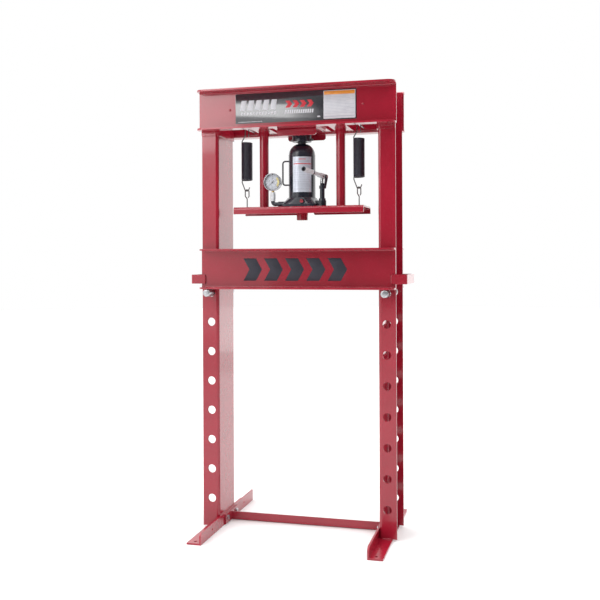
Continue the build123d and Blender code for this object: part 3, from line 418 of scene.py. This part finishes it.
PRINT_SILVER = finish(
    "printed_silver", (0.60, 0.63, 0.70), (0.50, 0.52, 0.59), (0.26, 0.40), metallic=0.3, mottle=45.0,
    bump=0.00001,
)
PRINT_RED = finish(
    "printed_red", (0.66, 0.045, 0.06), (0.52, 0.03, 0.045), (0.3, 0.45), mottle=60.0, bump=0.00001
)
PRINT_ORANGE = finish(
    "printed_orange", (0.78, 0.30, 0.035), (0.68, 0.24, 0.025), (0.3, 0.45), mottle=60.0, bump=0.00001
)
PRINT_YELLOW = finish(
    "printed_yellow", (0.72, 0.60, 0.20), (0.62, 0.50, 0.14), (0.45, 0.6), mottle=80.0, bump=0.00001
)
DARK_LETTER = finish(
    "painted_graphic", (0.026, 0.026, 0.042), (0.018, 0.018, 0.030), (0.42, 0.55), mottle=30.0,
    bump=0.00002,
)
FLOOR = finish(
    "studio_floor", (0.80, 0.80, 0.80), (0.78, 0.78, 0.78), (0.7, 0.8), mottle=1.5, grain=60.0, bump=0.00001,
    specular=0.1,
)

slot_of = {part["node"]: part["material_slot"] for part in frame["record"]["subparts"]}
for node, obj in frame["nodes"].items():
    obj.data.materials.clear()
    obj.data.materials.append(FINISHES[slot_of[node]])


# ---------------------------------------------------------------- mesh tools
def piece(name, bm, body, slot, material=None, replaces=(), angle=35.0, weighted=False):
    """A mesh object from a bmesh, smooth under the angle, riding on a body. It has its slot's finish,
    unless another material is given."""
    bmesh.ops.recalc_face_normals(bm, faces=bm.faces)
    mesh = bpy.data.meshes.new(name)
    bm.to_mesh(mesh)
    bm.free()
    mesh.polygons.foreach_set("use_smooth", [True] * len(mesh.polygons))
    mesh.set_sharp_from_angle(angle=math.radians(angle))
    mesh.materials.append(material or FINISHES[slot])
    obj = bpy.data.objects.new(name, mesh)
    scene.collection.objects.link(obj)
    if weighted:
        modifier = obj.modifiers.new("weighted", "WEIGHTED_NORMAL")
        modifier.keep_sharp = True
    if body:
        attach(obj, body)
    if replaces:
        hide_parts(*replaces)
    return obj


def soften(node, width):
    """The CAD node again, with its sharp edges rounded."""
    source = frame["nodes"][node]
    bm = bmesh.new()
    bm.from_mesh(source.data)
    bmesh.ops.remove_doubles(bm, verts=bm.verts, dist=2e-6)
    bmesh.ops.dissolve_limit(
        bm, angle_limit=math.radians(0.4), use_dissolve_boundaries=False, verts=bm.verts, edges=bm.edges
    )
    sharp = [e for e in bm.edges if e.is_manifold and e.calc_face_angle() > math.radians(38.0)]
    bmesh.ops.bevel(
        bm, geom=sharp, offset=width, segments=2, profile=0.5, affect="EDGES", clamp_overlap=True
    )
    piece(
        node + "_finished", bm, source["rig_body"], slot_of[node], replaces=(node,), angle=32.0, weighted=True
    )


def axes(origin, z_dir, x_dir=None):
    """Matrix from local coordinates (millimetres) to the frame (metres)."""
    z = Vector(z_dir).normalized()
    x = Vector(x_dir) if x_dir else (Vector((1, 0, 0)) if abs(z.x) < 0.9 else Vector((0, 1, 0)))
    x = (x - z * x.dot(z)).normalized()
    y = z.cross(x)
    turn = Matrix((x, y, z)).transposed().to_4x4()
    return Matrix.Translation(Vector(origin) * MM) @ turn @ Matrix.Scale(MM, 4)


def polar(radius, angle, height):
    return Vector((radius * math.cos(angle), radius * math.sin(angle), height))


def circle(bm, place, radius, height, segments):
    """A ring of vertices about the local z axis."""
    return [
        bm.verts.new(place @ polar(radius, 2 * math.pi * i / segments, height)) for i in range(segments)
    ]


def skin(bm, rings):
    """Quads between each ring of vertices and the next."""
    for a, b in zip(rings, rings[1:]):
        for i in range(len(a)):
            j = (i + 1) % len(a)
            bm.faces.new((a[i], a[j], b[j], b[i]))


def caps(bm, rings):
    """Closes the first and the last ring."""
    bm.faces.new(rings[0])
    bm.faces.new(list(reversed(rings[-1])))


def lathe(bm, profile, place, segments=48):
    """Turns (radius, height) points about the local z axis. A point on the axis becomes one vertex, and
    an outline that stays clear of the axis is closed."""
    rings = []
    for radius, height in profile:
        if radius < 1e-6:
            rings.append([bm.verts.new(place @ Vector((0, 0, height)))])
        else:
            rings.append(circle(bm, place, radius, height, segments))
    pairs = list(zip(rings, rings[1:]))
    if len(rings[0]) > 1 and len(rings[-1]) > 1:
        pairs.append((rings[-1], rings[0]))
    for a, b in pairs:
        for i in range(segments):
            j = (i + 1) % segments
            if len(a) == 1:
                bm.faces.new((a[0], b[i], b[j]))
            elif len(b) == 1:
                bm.faces.new((a[i], b[0], a[j]))
            else:
                bm.faces.new((a[i], b[i], b[j], a[j]))


def sweep(bm, points, radius, ring=10, closed=False):
    """A round tube along points in millimetres. radius is a number, or a function of the share of the way."""
    count = len(points)
    points = [Vector(p) for p in points]
    previous = None
    rings = []
    for i, p in enumerate(points):
        before = points[i - 1] if (i or closed) else p
        after = points[(i + 1) % count] if (i < count - 1 or closed) else p
        tangent = (after - before).normalized()
        if previous is None:
            seed = Vector((0, 0, 1)) if abs(tangent.z) < 0.9 else Vector((1, 0, 0))
            normal = (seed - tangent * seed.dot(tangent)).normalized()
        else:
            normal = (previous - tangent * previous.dot(tangent)).normalized()
        previous = normal
        side = tangent.cross(normal)
        r = radius(i / (count - 1)) if callable(radius) else radius
        turns = [2 * math.pi * k / ring for k in range(ring)]
        rings.append(
            [bm.verts.new((p + normal * r * math.cos(a) + side * r * math.sin(a)) * MM) for a in turns]
        )
    if closed:
        skin(bm, rings + rings[:1])
    else:
        skin(bm, rings)
        caps(bm, rings)


def prism(bm, outline, height, place, bevel):
    """Extrudes a flat outline (local x, y) along local z, with its far edges bevelled."""
    low = [bm.verts.new(place @ Vector((x, y, 0))) for x, y in outline]
    high = [bm.verts.new(place @ Vector((x, y, height))) for x, y in outline]
    bm.faces.new(list(reversed(low)))
    top = bm.faces.new(high)
    skin(bm, [low, high])
    bmesh.ops.bevel(bm, geom=list(top.edges), offset=bevel * MM, segments=2, profile=0.5, affect="EDGES")


def rounded(x0, y0, x1, y1, r, steps=5):
    """A rectangle with rounded corners, as an outline."""
    points = []
    corners = ((x1 - r, y1 - r), (x0 + r, y1 - r), (x0 + r, y0 + r), (x1 - r, y0 + r))
    for quarter, (cx, cy) in enumerate(corners):
        for i in range(steps + 1):
            a = math.radians(90 * quarter + 90 * i / steps)
            points.append((cx + r * math.cos(a), cy + r * math.sin(a)))
    return points


def slanted(x0, y0, x1, y1, lean):
    """A leaning bar, as an outline."""
    return [(x0, y0), (x1, y0), (x1 + lean, y1), (x0 + lean, y1)]


def chevron(x0, y0, bar, point, height):
    """An arrow bar that points right, as an outline."""
    middle = y0 + height / 2
    return [
        (x0, y0), (x0 + bar, y0), (x0 + bar + point, middle), (x0 + bar, y0 + height), (x0, y0 + height),
        (x0 + point, middle),
    ]


def hex_block(bm, radius, height, place, bore=0.0, washer=0.0):
    """A hexagon with corners turned off at both ends, as on a nut or bolt head."""
    segments = 48
    flat = radius * math.cos(math.pi / 6)
    angles = [2 * math.pi * i / segments for i in range(segments)]
    sides = [flat / math.cos((a + math.pi / 6) % (math.pi / 3) - math.pi / 6) for a in angles]
    corners = [max(0.0, (r - flat) / (radius - flat)) for r in sides]
    levels = (
        [(min(r, flat * 0.96), 0.0) for r in sides],
        [(r, 0.06 * height) for r in sides],
        [(r, (0.98 - 0.14 * corner) * height) for r, corner in zip(sides, corners)],
        [(min(r, flat * 0.93), height) for r in sides],
    )
    rings = [[bm.verts.new(place @ polar(r, a, z)) for a, (r, z) in zip(angles, level)] for level in levels]
    if bore:
        mouth = circle(bm, place, bore, 0.0, segments)
        skin(bm, [mouth, *rings, circle(bm, place, bore, height, segments), mouth])
    else:
        skin(bm, rings)
        caps(bm, rings)
    if washer:
        rim = [(flat * 1.02, -washer), (flat * 1.05, -washer * 0.5), (flat * 1.02, 0.0)]
        lathe(bm, [(0.0, -washer), *rim, (0.0, 0.0)], place, 40)


def threaded(bm, radius, start, length, pitch, place, around=24):
    """A rod with a real helical thread."""
    levels = int(length / pitch * 8)
    depth = 0.3 * pitch
    rings = []
    for n in range(levels + 1):
        z = start + length * n / levels
        fade = min(1.0, (length - (z - start)) / pitch, (z - start) / pitch + 0.3)
        ring = []
        for i in range(around):
            groove = abs(((z / pitch) - i / around) % 1.0 - 0.5) * 2.0
            r = radius - depth * groove * fade - (1.0 - fade) * depth
            ring.append(bm.verts.new(place @ polar(r, 2 * math.pi * i / around, z)))
        rings.append(ring)
    skin(bm, rings)
    caps(bm, rings)


dice = random.Random(11)


def bead(bm, points, size=2.6, closed=False):
    """A rippled weld bead along points, half sunk in the metal."""
    points = [Vector(p) for p in points]
    loop = points + [points[0]] if closed else points
    dense = []
    for a, b in zip(loop, loop[1:]):
        steps = max(1, int((b - a).length / 0.7))
        dense += [a.lerp(b, i / steps) for i in range(steps)]
    if not closed:
        dense.append(loop[-1])
    offset = dice.random()
    count = len(dense)
    jitter = [1.0 + 0.10 * (dice.random() - 0.5) for _ in range(count // 4 + 3)]

    def width(share):
        at = share * (count - 1)
        ripple = 0.84 + 0.16 * abs(math.sin(math.pi * (at / 4.0 + offset)))
        ends = 1.0 if closed else min(1.0, 0.35 + min(at, count - 1 - at) / 4.0)
        return size * ripple * jitter[int(at // 4)] * ends

    sweep(bm, dense, width, closed=closed)


def circle_points(x, y, z, radius, count=72):
    turns = [2 * math.pi * i / count for i in range(count)]
    return [(x + radius * math.cos(a), y + radius * math.sin(a), z) for a in turns]


def box_mm(node):
    low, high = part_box(node)
    return low / MM, high / MM


# ---------------------------------------------------------------- floor
floor_mesh = bmesh.new()
bmesh.ops.create_circle(floor_mesh, cap_ends=True, radius=14.0, segments=96)
floor_data = bpy.data.meshes.new("floor")
floor_mesh.to_mesh(floor_data)
floor_mesh.free()
floor_data.materials.append(FLOOR)
floor = bpy.data.objects.new("floor", floor_data)
scene.collection.objects.link(floor)

# ---------------------------------------------------------------- folded sheet metal, with its edges rounded
SHEET_EDGE = 0.6 * MM
BLOCK_EDGE = 0.5 * MM
FINE_EDGE = 0.25 * MM
for node in (
    "left_upright", "right_upright", "front_head_channel", "rear_head_channel", "head_brackets",
    "front_bed_channel", "rear_bed_channel", "bed_straps", "left_foot", "right_foot", "base_crossbar",
    "ram_platform", "thrust_channel", "thrust_plate",
):
    soften(node, SHEET_EDGE)
for node in (
    "locating_collar", "ram_nose", "guide_plates", "guide_sleeves", "jack_base", "jack_cap", "gland_nut",
):
    soften(node, BLOCK_EDGE)
for node in ("pump_lever", "fulcrum_link", "release_valve", "pump_barrel", "gauge_bezel"):
    soften(node, FINE_EDGE)

# ---------------------------------------------------------------- return springs
WIRE = 1.9
COILS = 35
POINTS_PER_COIL = 28
spring_low, spring_high = box_mm("right_spring")
coil_radius = (spring_high.x - spring_low.x) / 2
for side, sign in (("left", -1), ("right", 1)):
    middle = sign * (spring_low.x + spring_high.x) / 2
    top = spring_high.z - WIRE
    drop = spring_high.z - spring_low.z - 2 * WIRE
    steps = COILS * POINTS_PER_COIL
    coil_points = []
    for i in range(steps + 1):
        turn = math.pi + 2 * math.pi * COILS * i / steps
        along = polar(coil_radius - WIRE, turn, top - drop * i / steps)
        coil_points.append(along + Vector((middle, 0.0, 0.0)))
    bm = bmesh.new()
    sweep(bm, coil_points, WIRE)
    spring = piece(f"{side}_spring_coil", bm, None, "spring_black", replaces=(f"{side}_spring",), angle=60)
    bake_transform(spring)

# ---------------------------------------------------------------- bolts, nuts and pins
# crossbar bolts: heads inside the end plates, nuts outside the uprights
BOLT_CORNER = 8.5
PLATE_FACE = 274.0
HEAD_CORNER = 8.0
HEAD_HEIGHT = 4.6
HEAD_WASHER = 1.3
NUT_CORNER = 8.3
NUT_HEIGHT = 6.0
NUT_BORE = 5.0
THREAD_RADIUS = 4.9
THREAD_PITCH = 1.5
THREAD_IN_NUT = 0.5
bolt_low, bolt_high = box_mm("crossbar_bolts")
nut_face = box_mm("crossbar_nuts")[1].x - NUT_HEIGHT
thread_start = nut_face + THREAD_IN_NUT - PLATE_FACE
thread_length = bolt_high.x - PLATE_FACE - thread_start
bolt_z = (bolt_high.z + bolt_low.z) / 2
heads = bmesh.new()
nuts = bmesh.new()
for sign in (-1, 1):
    for y in (bolt_low.y + BOLT_CORNER, bolt_high.y - BOLT_CORNER):
        inward = axes((sign * PLATE_FACE, y, bolt_z), (-sign, 0, 0), (0, 1, 0))
        seat = inward @ Matrix.Translation((0, 0, HEAD_WASHER))
        hex_block(heads, HEAD_CORNER, HEAD_HEIGHT, seat, washer=HEAD_WASHER)
        outward = axes((sign * PLATE_FACE, y, bolt_z), (sign, 0, 0), (0, 1, 0))
        threaded(heads, THREAD_RADIUS, thread_start, thread_length, THREAD_PITCH, outward)
        nut_place = axes((sign * nut_face, y, bolt_z), (sign, 0, 0), (0, 1, 0))
        hex_block(nuts, NUT_CORNER, NUT_HEIGHT, nut_place, bore=NUT_BORE)
piece("crossbar_bolt_set", heads, "frame", "zinc", replaces=("crossbar_bolts",), angle=30)
piece("crossbar_nut_set", nuts, "frame", "zinc", replaces=("crossbar_nuts",), angle=30)

# tie bolts through both head channels, with domed heads painted over
WEB = 6.0
TIE_RADIUS = 2.9
TIE_DOME = ((0.0, 2.5), (1.6, 2.35), (3.0, 1.8), (4.0, 0.9), (4.4, 0.2), (4.4, 0.0), (0.0, 0.0))
head_bottom = box_mm("front_head_channel")[0].z
head_face = WEB - box_mm("front_head_channel")[1].y
tie_low, tie_high = box_mm("head_tie_bolts")
tie_z = (tie_low.z + tie_high.z) / 2
tie_x = tie_high.x - (tie_high.z - tie_low.z) / 2
shank = [(0.0, -head_face), (TIE_RADIUS, -head_face), (TIE_RADIUS, head_face), (0.0, head_face)]
ties = bmesh.new()
for sign in (-1, 1):
    for face in (-1, 1):
        lathe(ties, TIE_DOME, axes((sign * tie_x, face * head_face, tie_z), (0, face, 0)), 32)
    lathe(ties, shank, axes((sign * tie_x, 0, tie_z), (0, 1, 0)), 20)
piece("tie_bolt_set", ties, "frame", "red_paint", replaces=("head_tie_bolts",), angle=40)

# the turned end of a bed pin: how far each point lies inside the radius and from the end face
PIN_END = ((4.0, 0.0), (2.6, 0.3), (0.5, 1.8), (0.0, 2.6), (0.0, 9.0), (0.5, 9.5), (0.5, 11.5), (0.0, 12.0))
PIN_RINGS = (-60.0, 0.0, 60.0)
for side in ("left", "right"):
    pin_low, pin_high = box_mm(f"{side}_bed_pin")
    reach = pin_high.y
    r = (pin_high.x - pin_low.x) / 2
    near_end = [(0.0, -reach)] + [(r - inset, depth - reach) for inset, depth in PIN_END]
    far_end = [(radius, -y) for radius, y in reversed(near_end)]
    centre = ((pin_low.x + pin_high.x) / 2, 0, (pin_low.z + pin_high.z) / 2)
    pin = bmesh.new()
    lathe(pin, near_end + [(r, y) for y in PIN_RINGS] + far_end, axes(centre, (0, 1, 0)), 64)
    piece(f"{side}_bed_pin_turned", pin, f"{side}_bed_pin", "zinc", replaces=(f"{side}_bed_pin",), angle=30)

# ---------------------------------------------------------------- flat graphics on the head and the bed
FILM = 0.12
SUNK = 0.05


def decal(name, shapes, body, slot, material, corner, layer):
    """Flat shapes stuck on a face that looks to the front. The shapes are outlines in x and z from the
    corner, and each layer lies on the one before."""
    bm = bmesh.new()
    x, y, z = corner
    place = axes((x, y + SUNK - layer * FILM, z), (0, -1, 0), (1, 0, 0))
    for outline in shapes:
        prism(bm, outline, FILM + SUNK, place, 0.03)
    piece(name, bm, body, slot, material)


# the head's panel: a card of ruled lines on the right, bars and chevrons on the left
head_web = (0.0, -head_face, head_bottom)
panel = rounded(-215.5, 21, 215.5, 125, 2.0)
card = rounded(101, 25, 211.5, 121, 1.5)
band = rounded(103, 107, 209.5, 119, 0.6)
rules = [rounded(105, z, 207.5 - 14.0 * (n % 3), z + 1.1, 0.4) for n, z in enumerate(range(43, 100, 5))]
rules += [rounded(103, 32, 209.5, 34.2, 0.5)]
bars = [slanted(-199 + 27.5 * n, 66, -180 + 27.5 * n, 101, 6) for n in range(5)]
bars += [slanted(-196 + 11.0 * n, 50, -190 + 11.0 * n, 60, 1.8) for n in range(12)]
bars += [rounded(-206, 26, -118, 27.4, 0.5)]
bars += [slanted(-36 + 7.9 * n, 49, -30.5 + 7.9 * n, 62, 2.2) for n in range(13)]
bars += [rounded(79, 32, 89, 37, 1.0)]
arrows = [chevron(-34 + 25.5 * n, 70, 15, 9, 24) for n in range(4)]
decal("head_panel", [panel], "frame", "jack_black", PRINT_BLACK, head_web, 0)
decal("head_panel_card", [card], "frame", "dial_white", PRINT_WHITE, head_web, 1)
decal("head_panel_band", [band], "frame", "valve_red", PRINT_ORANGE, head_web, 2)
decal("head_panel_rules", rules, "frame", "zinc", PRINT_GREY, head_web, 2)
decal("head_panel_bars", bars, "frame", "dial_white", PRINT_WHITE, head_web, 1)
decal("head_panel_chevrons", arrows, "frame", "valve_red", PRINT_RED, head_web, 1)

# the dark chevrons painted on the bed, from its web's lower edge
bed_bottom = box_mm("front_bed_channel")[0].z
bed_web = (0.0, box_mm("front_bed_channel")[1].y - WEB, bed_bottom)
BED_ARROW_RISE = 28.7
blocks = [chevron(-190.0 + 75.5 * n, BED_ARROW_RISE, 46, 22, 78) for n in range(5)]
decal("bed_graphic", blocks, "bed", "jack_black", DARK_LETTER, bed_web, 0)

# ---------------------------------------------------------------- panel on the jack's tank
tank_low, tank_high = box_mm("jack_tank")
tank_radius = tank_high.x
LABEL_MIDDLE = math.radians(-75)
LABEL_HALF_WIDTH = 32.0
LABEL_SUNK = 0.1
LABEL_FILM = 0.15
label_half = math.asin(LABEL_HALF_WIDTH / tank_radius)


def wrapped(bm, share, low, high, layer, thick):
    """A thin sheet bent round the tank, a share of the label's width, with its heights above the base."""
    steps = 28
    half = label_half * share
    inner, outer = tank_radius + layer - LABEL_SUNK, tank_radius + layer + thick
    z0, z1 = tank_low.z + low, tank_low.z + high
    rows = []
    for i in range(steps + 1):
        a = LABEL_MIDDLE - half + 2 * half * i / steps
        corners = ((inner, z0), (outer, z0), (outer, z1), (inner, z1))
        rows.append([bm.verts.new(polar(r, a, z) * MM) for r, z in corners])
    skin(bm, rows)
    caps(bm, rows)


bm = bmesh.new()
wrapped(bm, 1.0, 19, 143, 0.0, LABEL_FILM)
piece("jack_panel", bm, "carriage", "zinc", PRINT_SILVER)
bm = bmesh.new()
wrapped(bm, 0.94, 116.5, 119.5, LABEL_FILM, 0.1)
wrapped(bm, 0.35, 133, 135.5, LABEL_FILM, 0.1)
piece("jack_panel_red_lines", bm, "carriage", "valve_red", PRINT_RED)
bm = bmesh.new()
for share, heights in ((0.74, (109, 105, 101)), (0.86, (*range(95, 46, -8), 43, 39, 31, 27))):
    for z in heights:
        wrapped(bm, share, z, z + 0.9, LABEL_FILM, 0.08)
for z in (124, 127):
    wrapped(bm, 0.8, z, z + 1.2, LABEL_FILM, 0.08)
piece("jack_panel_rules", bm, "carriage", "zinc", PRINT_GREY)

# ---------------------------------------------------------------- gauge face
SCALE_START = 225.0
SCALE_SWEEP = 270.0
SCALE_RADIUS = 24.6
LONG_MARK, MIDDLE_MARK, SHORT_MARK = 20.4, 21.8, 23.0
INK = 0.12
NUMBER_RADIUS = 13.8
NUMBER_DEPTH = 0.06
dial_low, dial_high = box_mm("gauge_dial")
dial_x = (dial_low.x + dial_high.x) / 2
dial_z = (dial_low.z + dial_high.z) / 2
dial_place = axes((dial_x, dial_low.y + 0.02, dial_z), (0, -1, 0), (1, 0, 0))


def strip(bm, inner, outer, start, end, height, steps=40):
    """A flat ring sector on the dial, built of quads."""
    rows = []
    for i in range(steps + 1):
        a = math.radians(start + (end - start) * i / steps)
        corners = ((inner, 0.0), (outer, 0.0), (outer, height), (inner, height))
        rows.append([bm.verts.new(dial_place @ polar(r, a, h)) for r, h in corners])
    skin(bm, rows)
    caps(bm, rows)


marks = bmesh.new()
scale_end = SCALE_START - SCALE_SWEEP
strip(marks, SCALE_RADIUS, 25.2, scale_end, SCALE_START, INK, 90)
strip(marks, 26.6, 27.6, 0.0, 360.0, INK, 90)
strip(marks, 18.2, 18.4, scale_end, SCALE_START, INK, 90)
for n in range(41):
    angle = SCALE_START - SCALE_SWEEP * n / 40
    if n % 10 == 0:
        foot, half = LONG_MARK, 0.9
    else:
        foot, half = (SHORT_MARK if n % 2 else MIDDLE_MARK), 0.45
    strip(marks, foot, SCALE_RADIUS, angle - half, angle + half, INK, 1)
piece("gauge_scale", marks, "carriage", "needle_black")
bm = bmesh.new()
strip(bm, 17.0, 24.5, -42.0, 48.0, 0.07)
piece("gauge_yellow_zone", bm, "carriage", "brass", PRINT_YELLOW)
digits = bmesh.new()
for n, text in enumerate(("0", "5", "10", "15", "20")):
    font = bpy.data.curves.new("digits_" + text, "FONT")
    font.body = text
    font.size = 5.0
    font.extrude = NUMBER_DEPTH
    font.align_x = "CENTER"
    font.align_y = "CENTER"
    holder = bpy.data.objects.new("digits_" + text, font)
    scene.collection.objects.link(holder)
    bpy.context.view_layer.update()
    flat = bpy.data.meshes.new_from_object(holder.evaluated_get(bpy.context.evaluated_depsgraph_get()))
    angle = math.radians(SCALE_START - SCALE_SWEEP * n / 4)
    flat.transform(dial_place @ Matrix.Translation(polar(NUMBER_RADIUS, angle, NUMBER_DEPTH)))
    digits.from_mesh(flat)
    bpy.data.objects.remove(holder)
    bpy.data.meshes.remove(flat)
bmesh.ops.remove_doubles(digits, verts=digits.verts, dist=1e-7)
piece("gauge_numbers", digits, "carriage", "needle_black")

# ---------------------------------------------------------------- rolled seams of the jack's tank
top_seam = (tank_high.z, tank_radius - 0.55, 0.9)
foot_seam = (tank_low.z + 3.0, tank_radius - 0.25, 1.0)
crimp = bmesh.new()
for z, r, size in (top_seam, foot_seam):
    sweep(crimp, circle_points(0, 0, z, r, 96), size, closed=True)
piece("jack_tank_seams", crimp, "carriage", "jack_black")

# ---------------------------------------------------------------- pump handle socket
socket = next(m for m in frame["record"]["mounts"] if m["name"] == "pump_handle_socket")
socket_place = axes(Vector(socket["pos_m"]) / MM, socket["axis"])
MOUTH = 21.0
# a black lip over the socket's end, and a thin black lining 40 mm down the bore: the lining is painted shade
# inside the hole
MOUTH_LIP_AND_BORE_SHADE = (
    (8.15, -3.6), (8.25, -3.2), (8.25, -0.1), (7.9, 0.25), (6.4, 0.25), (6.05, -0.1), (6.05, -40.0),
    (6.25, -40.0), (6.25, -0.3), (7.9, -0.3), (7.9, -3.6),
)
SWIVEL_BAND = ((8.8, -31.0), (9.25, -30.6), (9.25, -26.7), (8.8, -26.3), (8.6, -26.3), (8.6, -31.0))
mouth = bmesh.new()
lathe(mouth, [(r, MOUTH + z) for r, z in MOUTH_LIP_AND_BORE_SHADE], socket_place)
piece("socket_lip_and_bore_shade", mouth, "handle_socket", "jack_black", angle=40)
swivel = bmesh.new()
lathe(swivel, SWIVEL_BAND, socket_place)
piece("swivel_ring_band", swivel, "handle_socket", "jack_black", angle=40)

# ---------------------------------------------------------------- weld beads
upright_low, upright_high = box_mm("right_upright")
guide_plate_low, guide_plate_high = box_mm("guide_plates")
strap_low, strap_high = box_mm("bed_straps")
sleeve_high = box_mm("guide_sleeves")[1]
tube_high = box_mm("right_guide_tube")[1]
thrust_high = box_mm("thrust_channel")[1]
collar_high = box_mm("locating_collar")[1]
nose_high = box_mm("ram_nose")[1]
platform_top = box_mm("ram_platform")[1].z
GUIDE_X = 140.0
FOOT_CROSS_BEAD = (296.0, 329.0)
FOOT_LONG_BEAD = (-70.0, 70.0)
FOOT_LONG_X = 293.0
STRAP_END = 331.0
STRAP_FACE = 92.2
# each bead's middle stands a little off the corner that it fills
foot_z = upright_low.z + 1.0
foot_y = upright_high.y + 0.6
plate_y = guide_plate_high.y - 0.4
plate_z = guide_plate_low.z - 0.4
plate_half = guide_plate_high.x - GUIDE_X - 1.0
thrust_x = thrust_high.x - 2.0
thrust_y = thrust_high.y + 1.0
thrust_z = thrust_high.z - 2.0
sleeve_bead = sleeve_high.x - GUIDE_X + 0.6
tube_bead = tube_high.x - GUIDE_X + 0.7
collar_bead = collar_high.x + 0.4
nose_bead = nose_high.x + 0.8

frame_welds = bmesh.new()
for sign in (-1, 1):
    for face in (-1, 1):
        bead(frame_welds, [(sign * x, face * foot_y, foot_z) for x in FOOT_CROSS_BEAD], 2.2)
    bead(frame_welds, [(sign * FOOT_LONG_X, y, foot_z) for y in FOOT_LONG_BEAD], 2.2)
    bead(frame_welds, circle_points(sign * GUIDE_X, 0, plate_z - 0.2, sleeve_bead), 1.6, True)
    for face in (-1, 1):
        ends = (sign * GUIDE_X - plate_half, sign * GUIDE_X + plate_half)
        bead(frame_welds, [(x, face * plate_y, plate_z) for x in ends], 1.6)
for face in (-1, 1):
    bead(frame_welds, [(x, face * thrust_y, thrust_z) for x in (-thrust_x, thrust_x)], 2.0)
bead(frame_welds, circle_points(0, 0, collar_high.z - 0.6, collar_bead, 96), 1.7, True)
piece("frame_weld_beads", frame_welds, "frame", "red_paint", angle=60)
ram_welds = bmesh.new()
for sign in (-1, 1):
    bead(ram_welds, circle_points(sign * GUIDE_X, 0, platform_top + 0.4, tube_bead, 60), 1.7, True)
bead(ram_welds, circle_points(0, 0, nose_high.z - 0.6, nose_bead), 1.8, True)
piece("platform_weld_beads", ram_welds, "carriage", "red_paint", angle=60)
bed_welds = bmesh.new()
for sign in (-1, 1):
    for face in (-1, 1):
        ends = (strap_low.z + 1.2, strap_high.z - 1.3)
        bead(bed_welds, [(sign * STRAP_END, face * STRAP_FACE, z) for z in ends], 2.3)
piece("bed_weld_beads", bed_welds, "bed", "red_paint", angle=60)
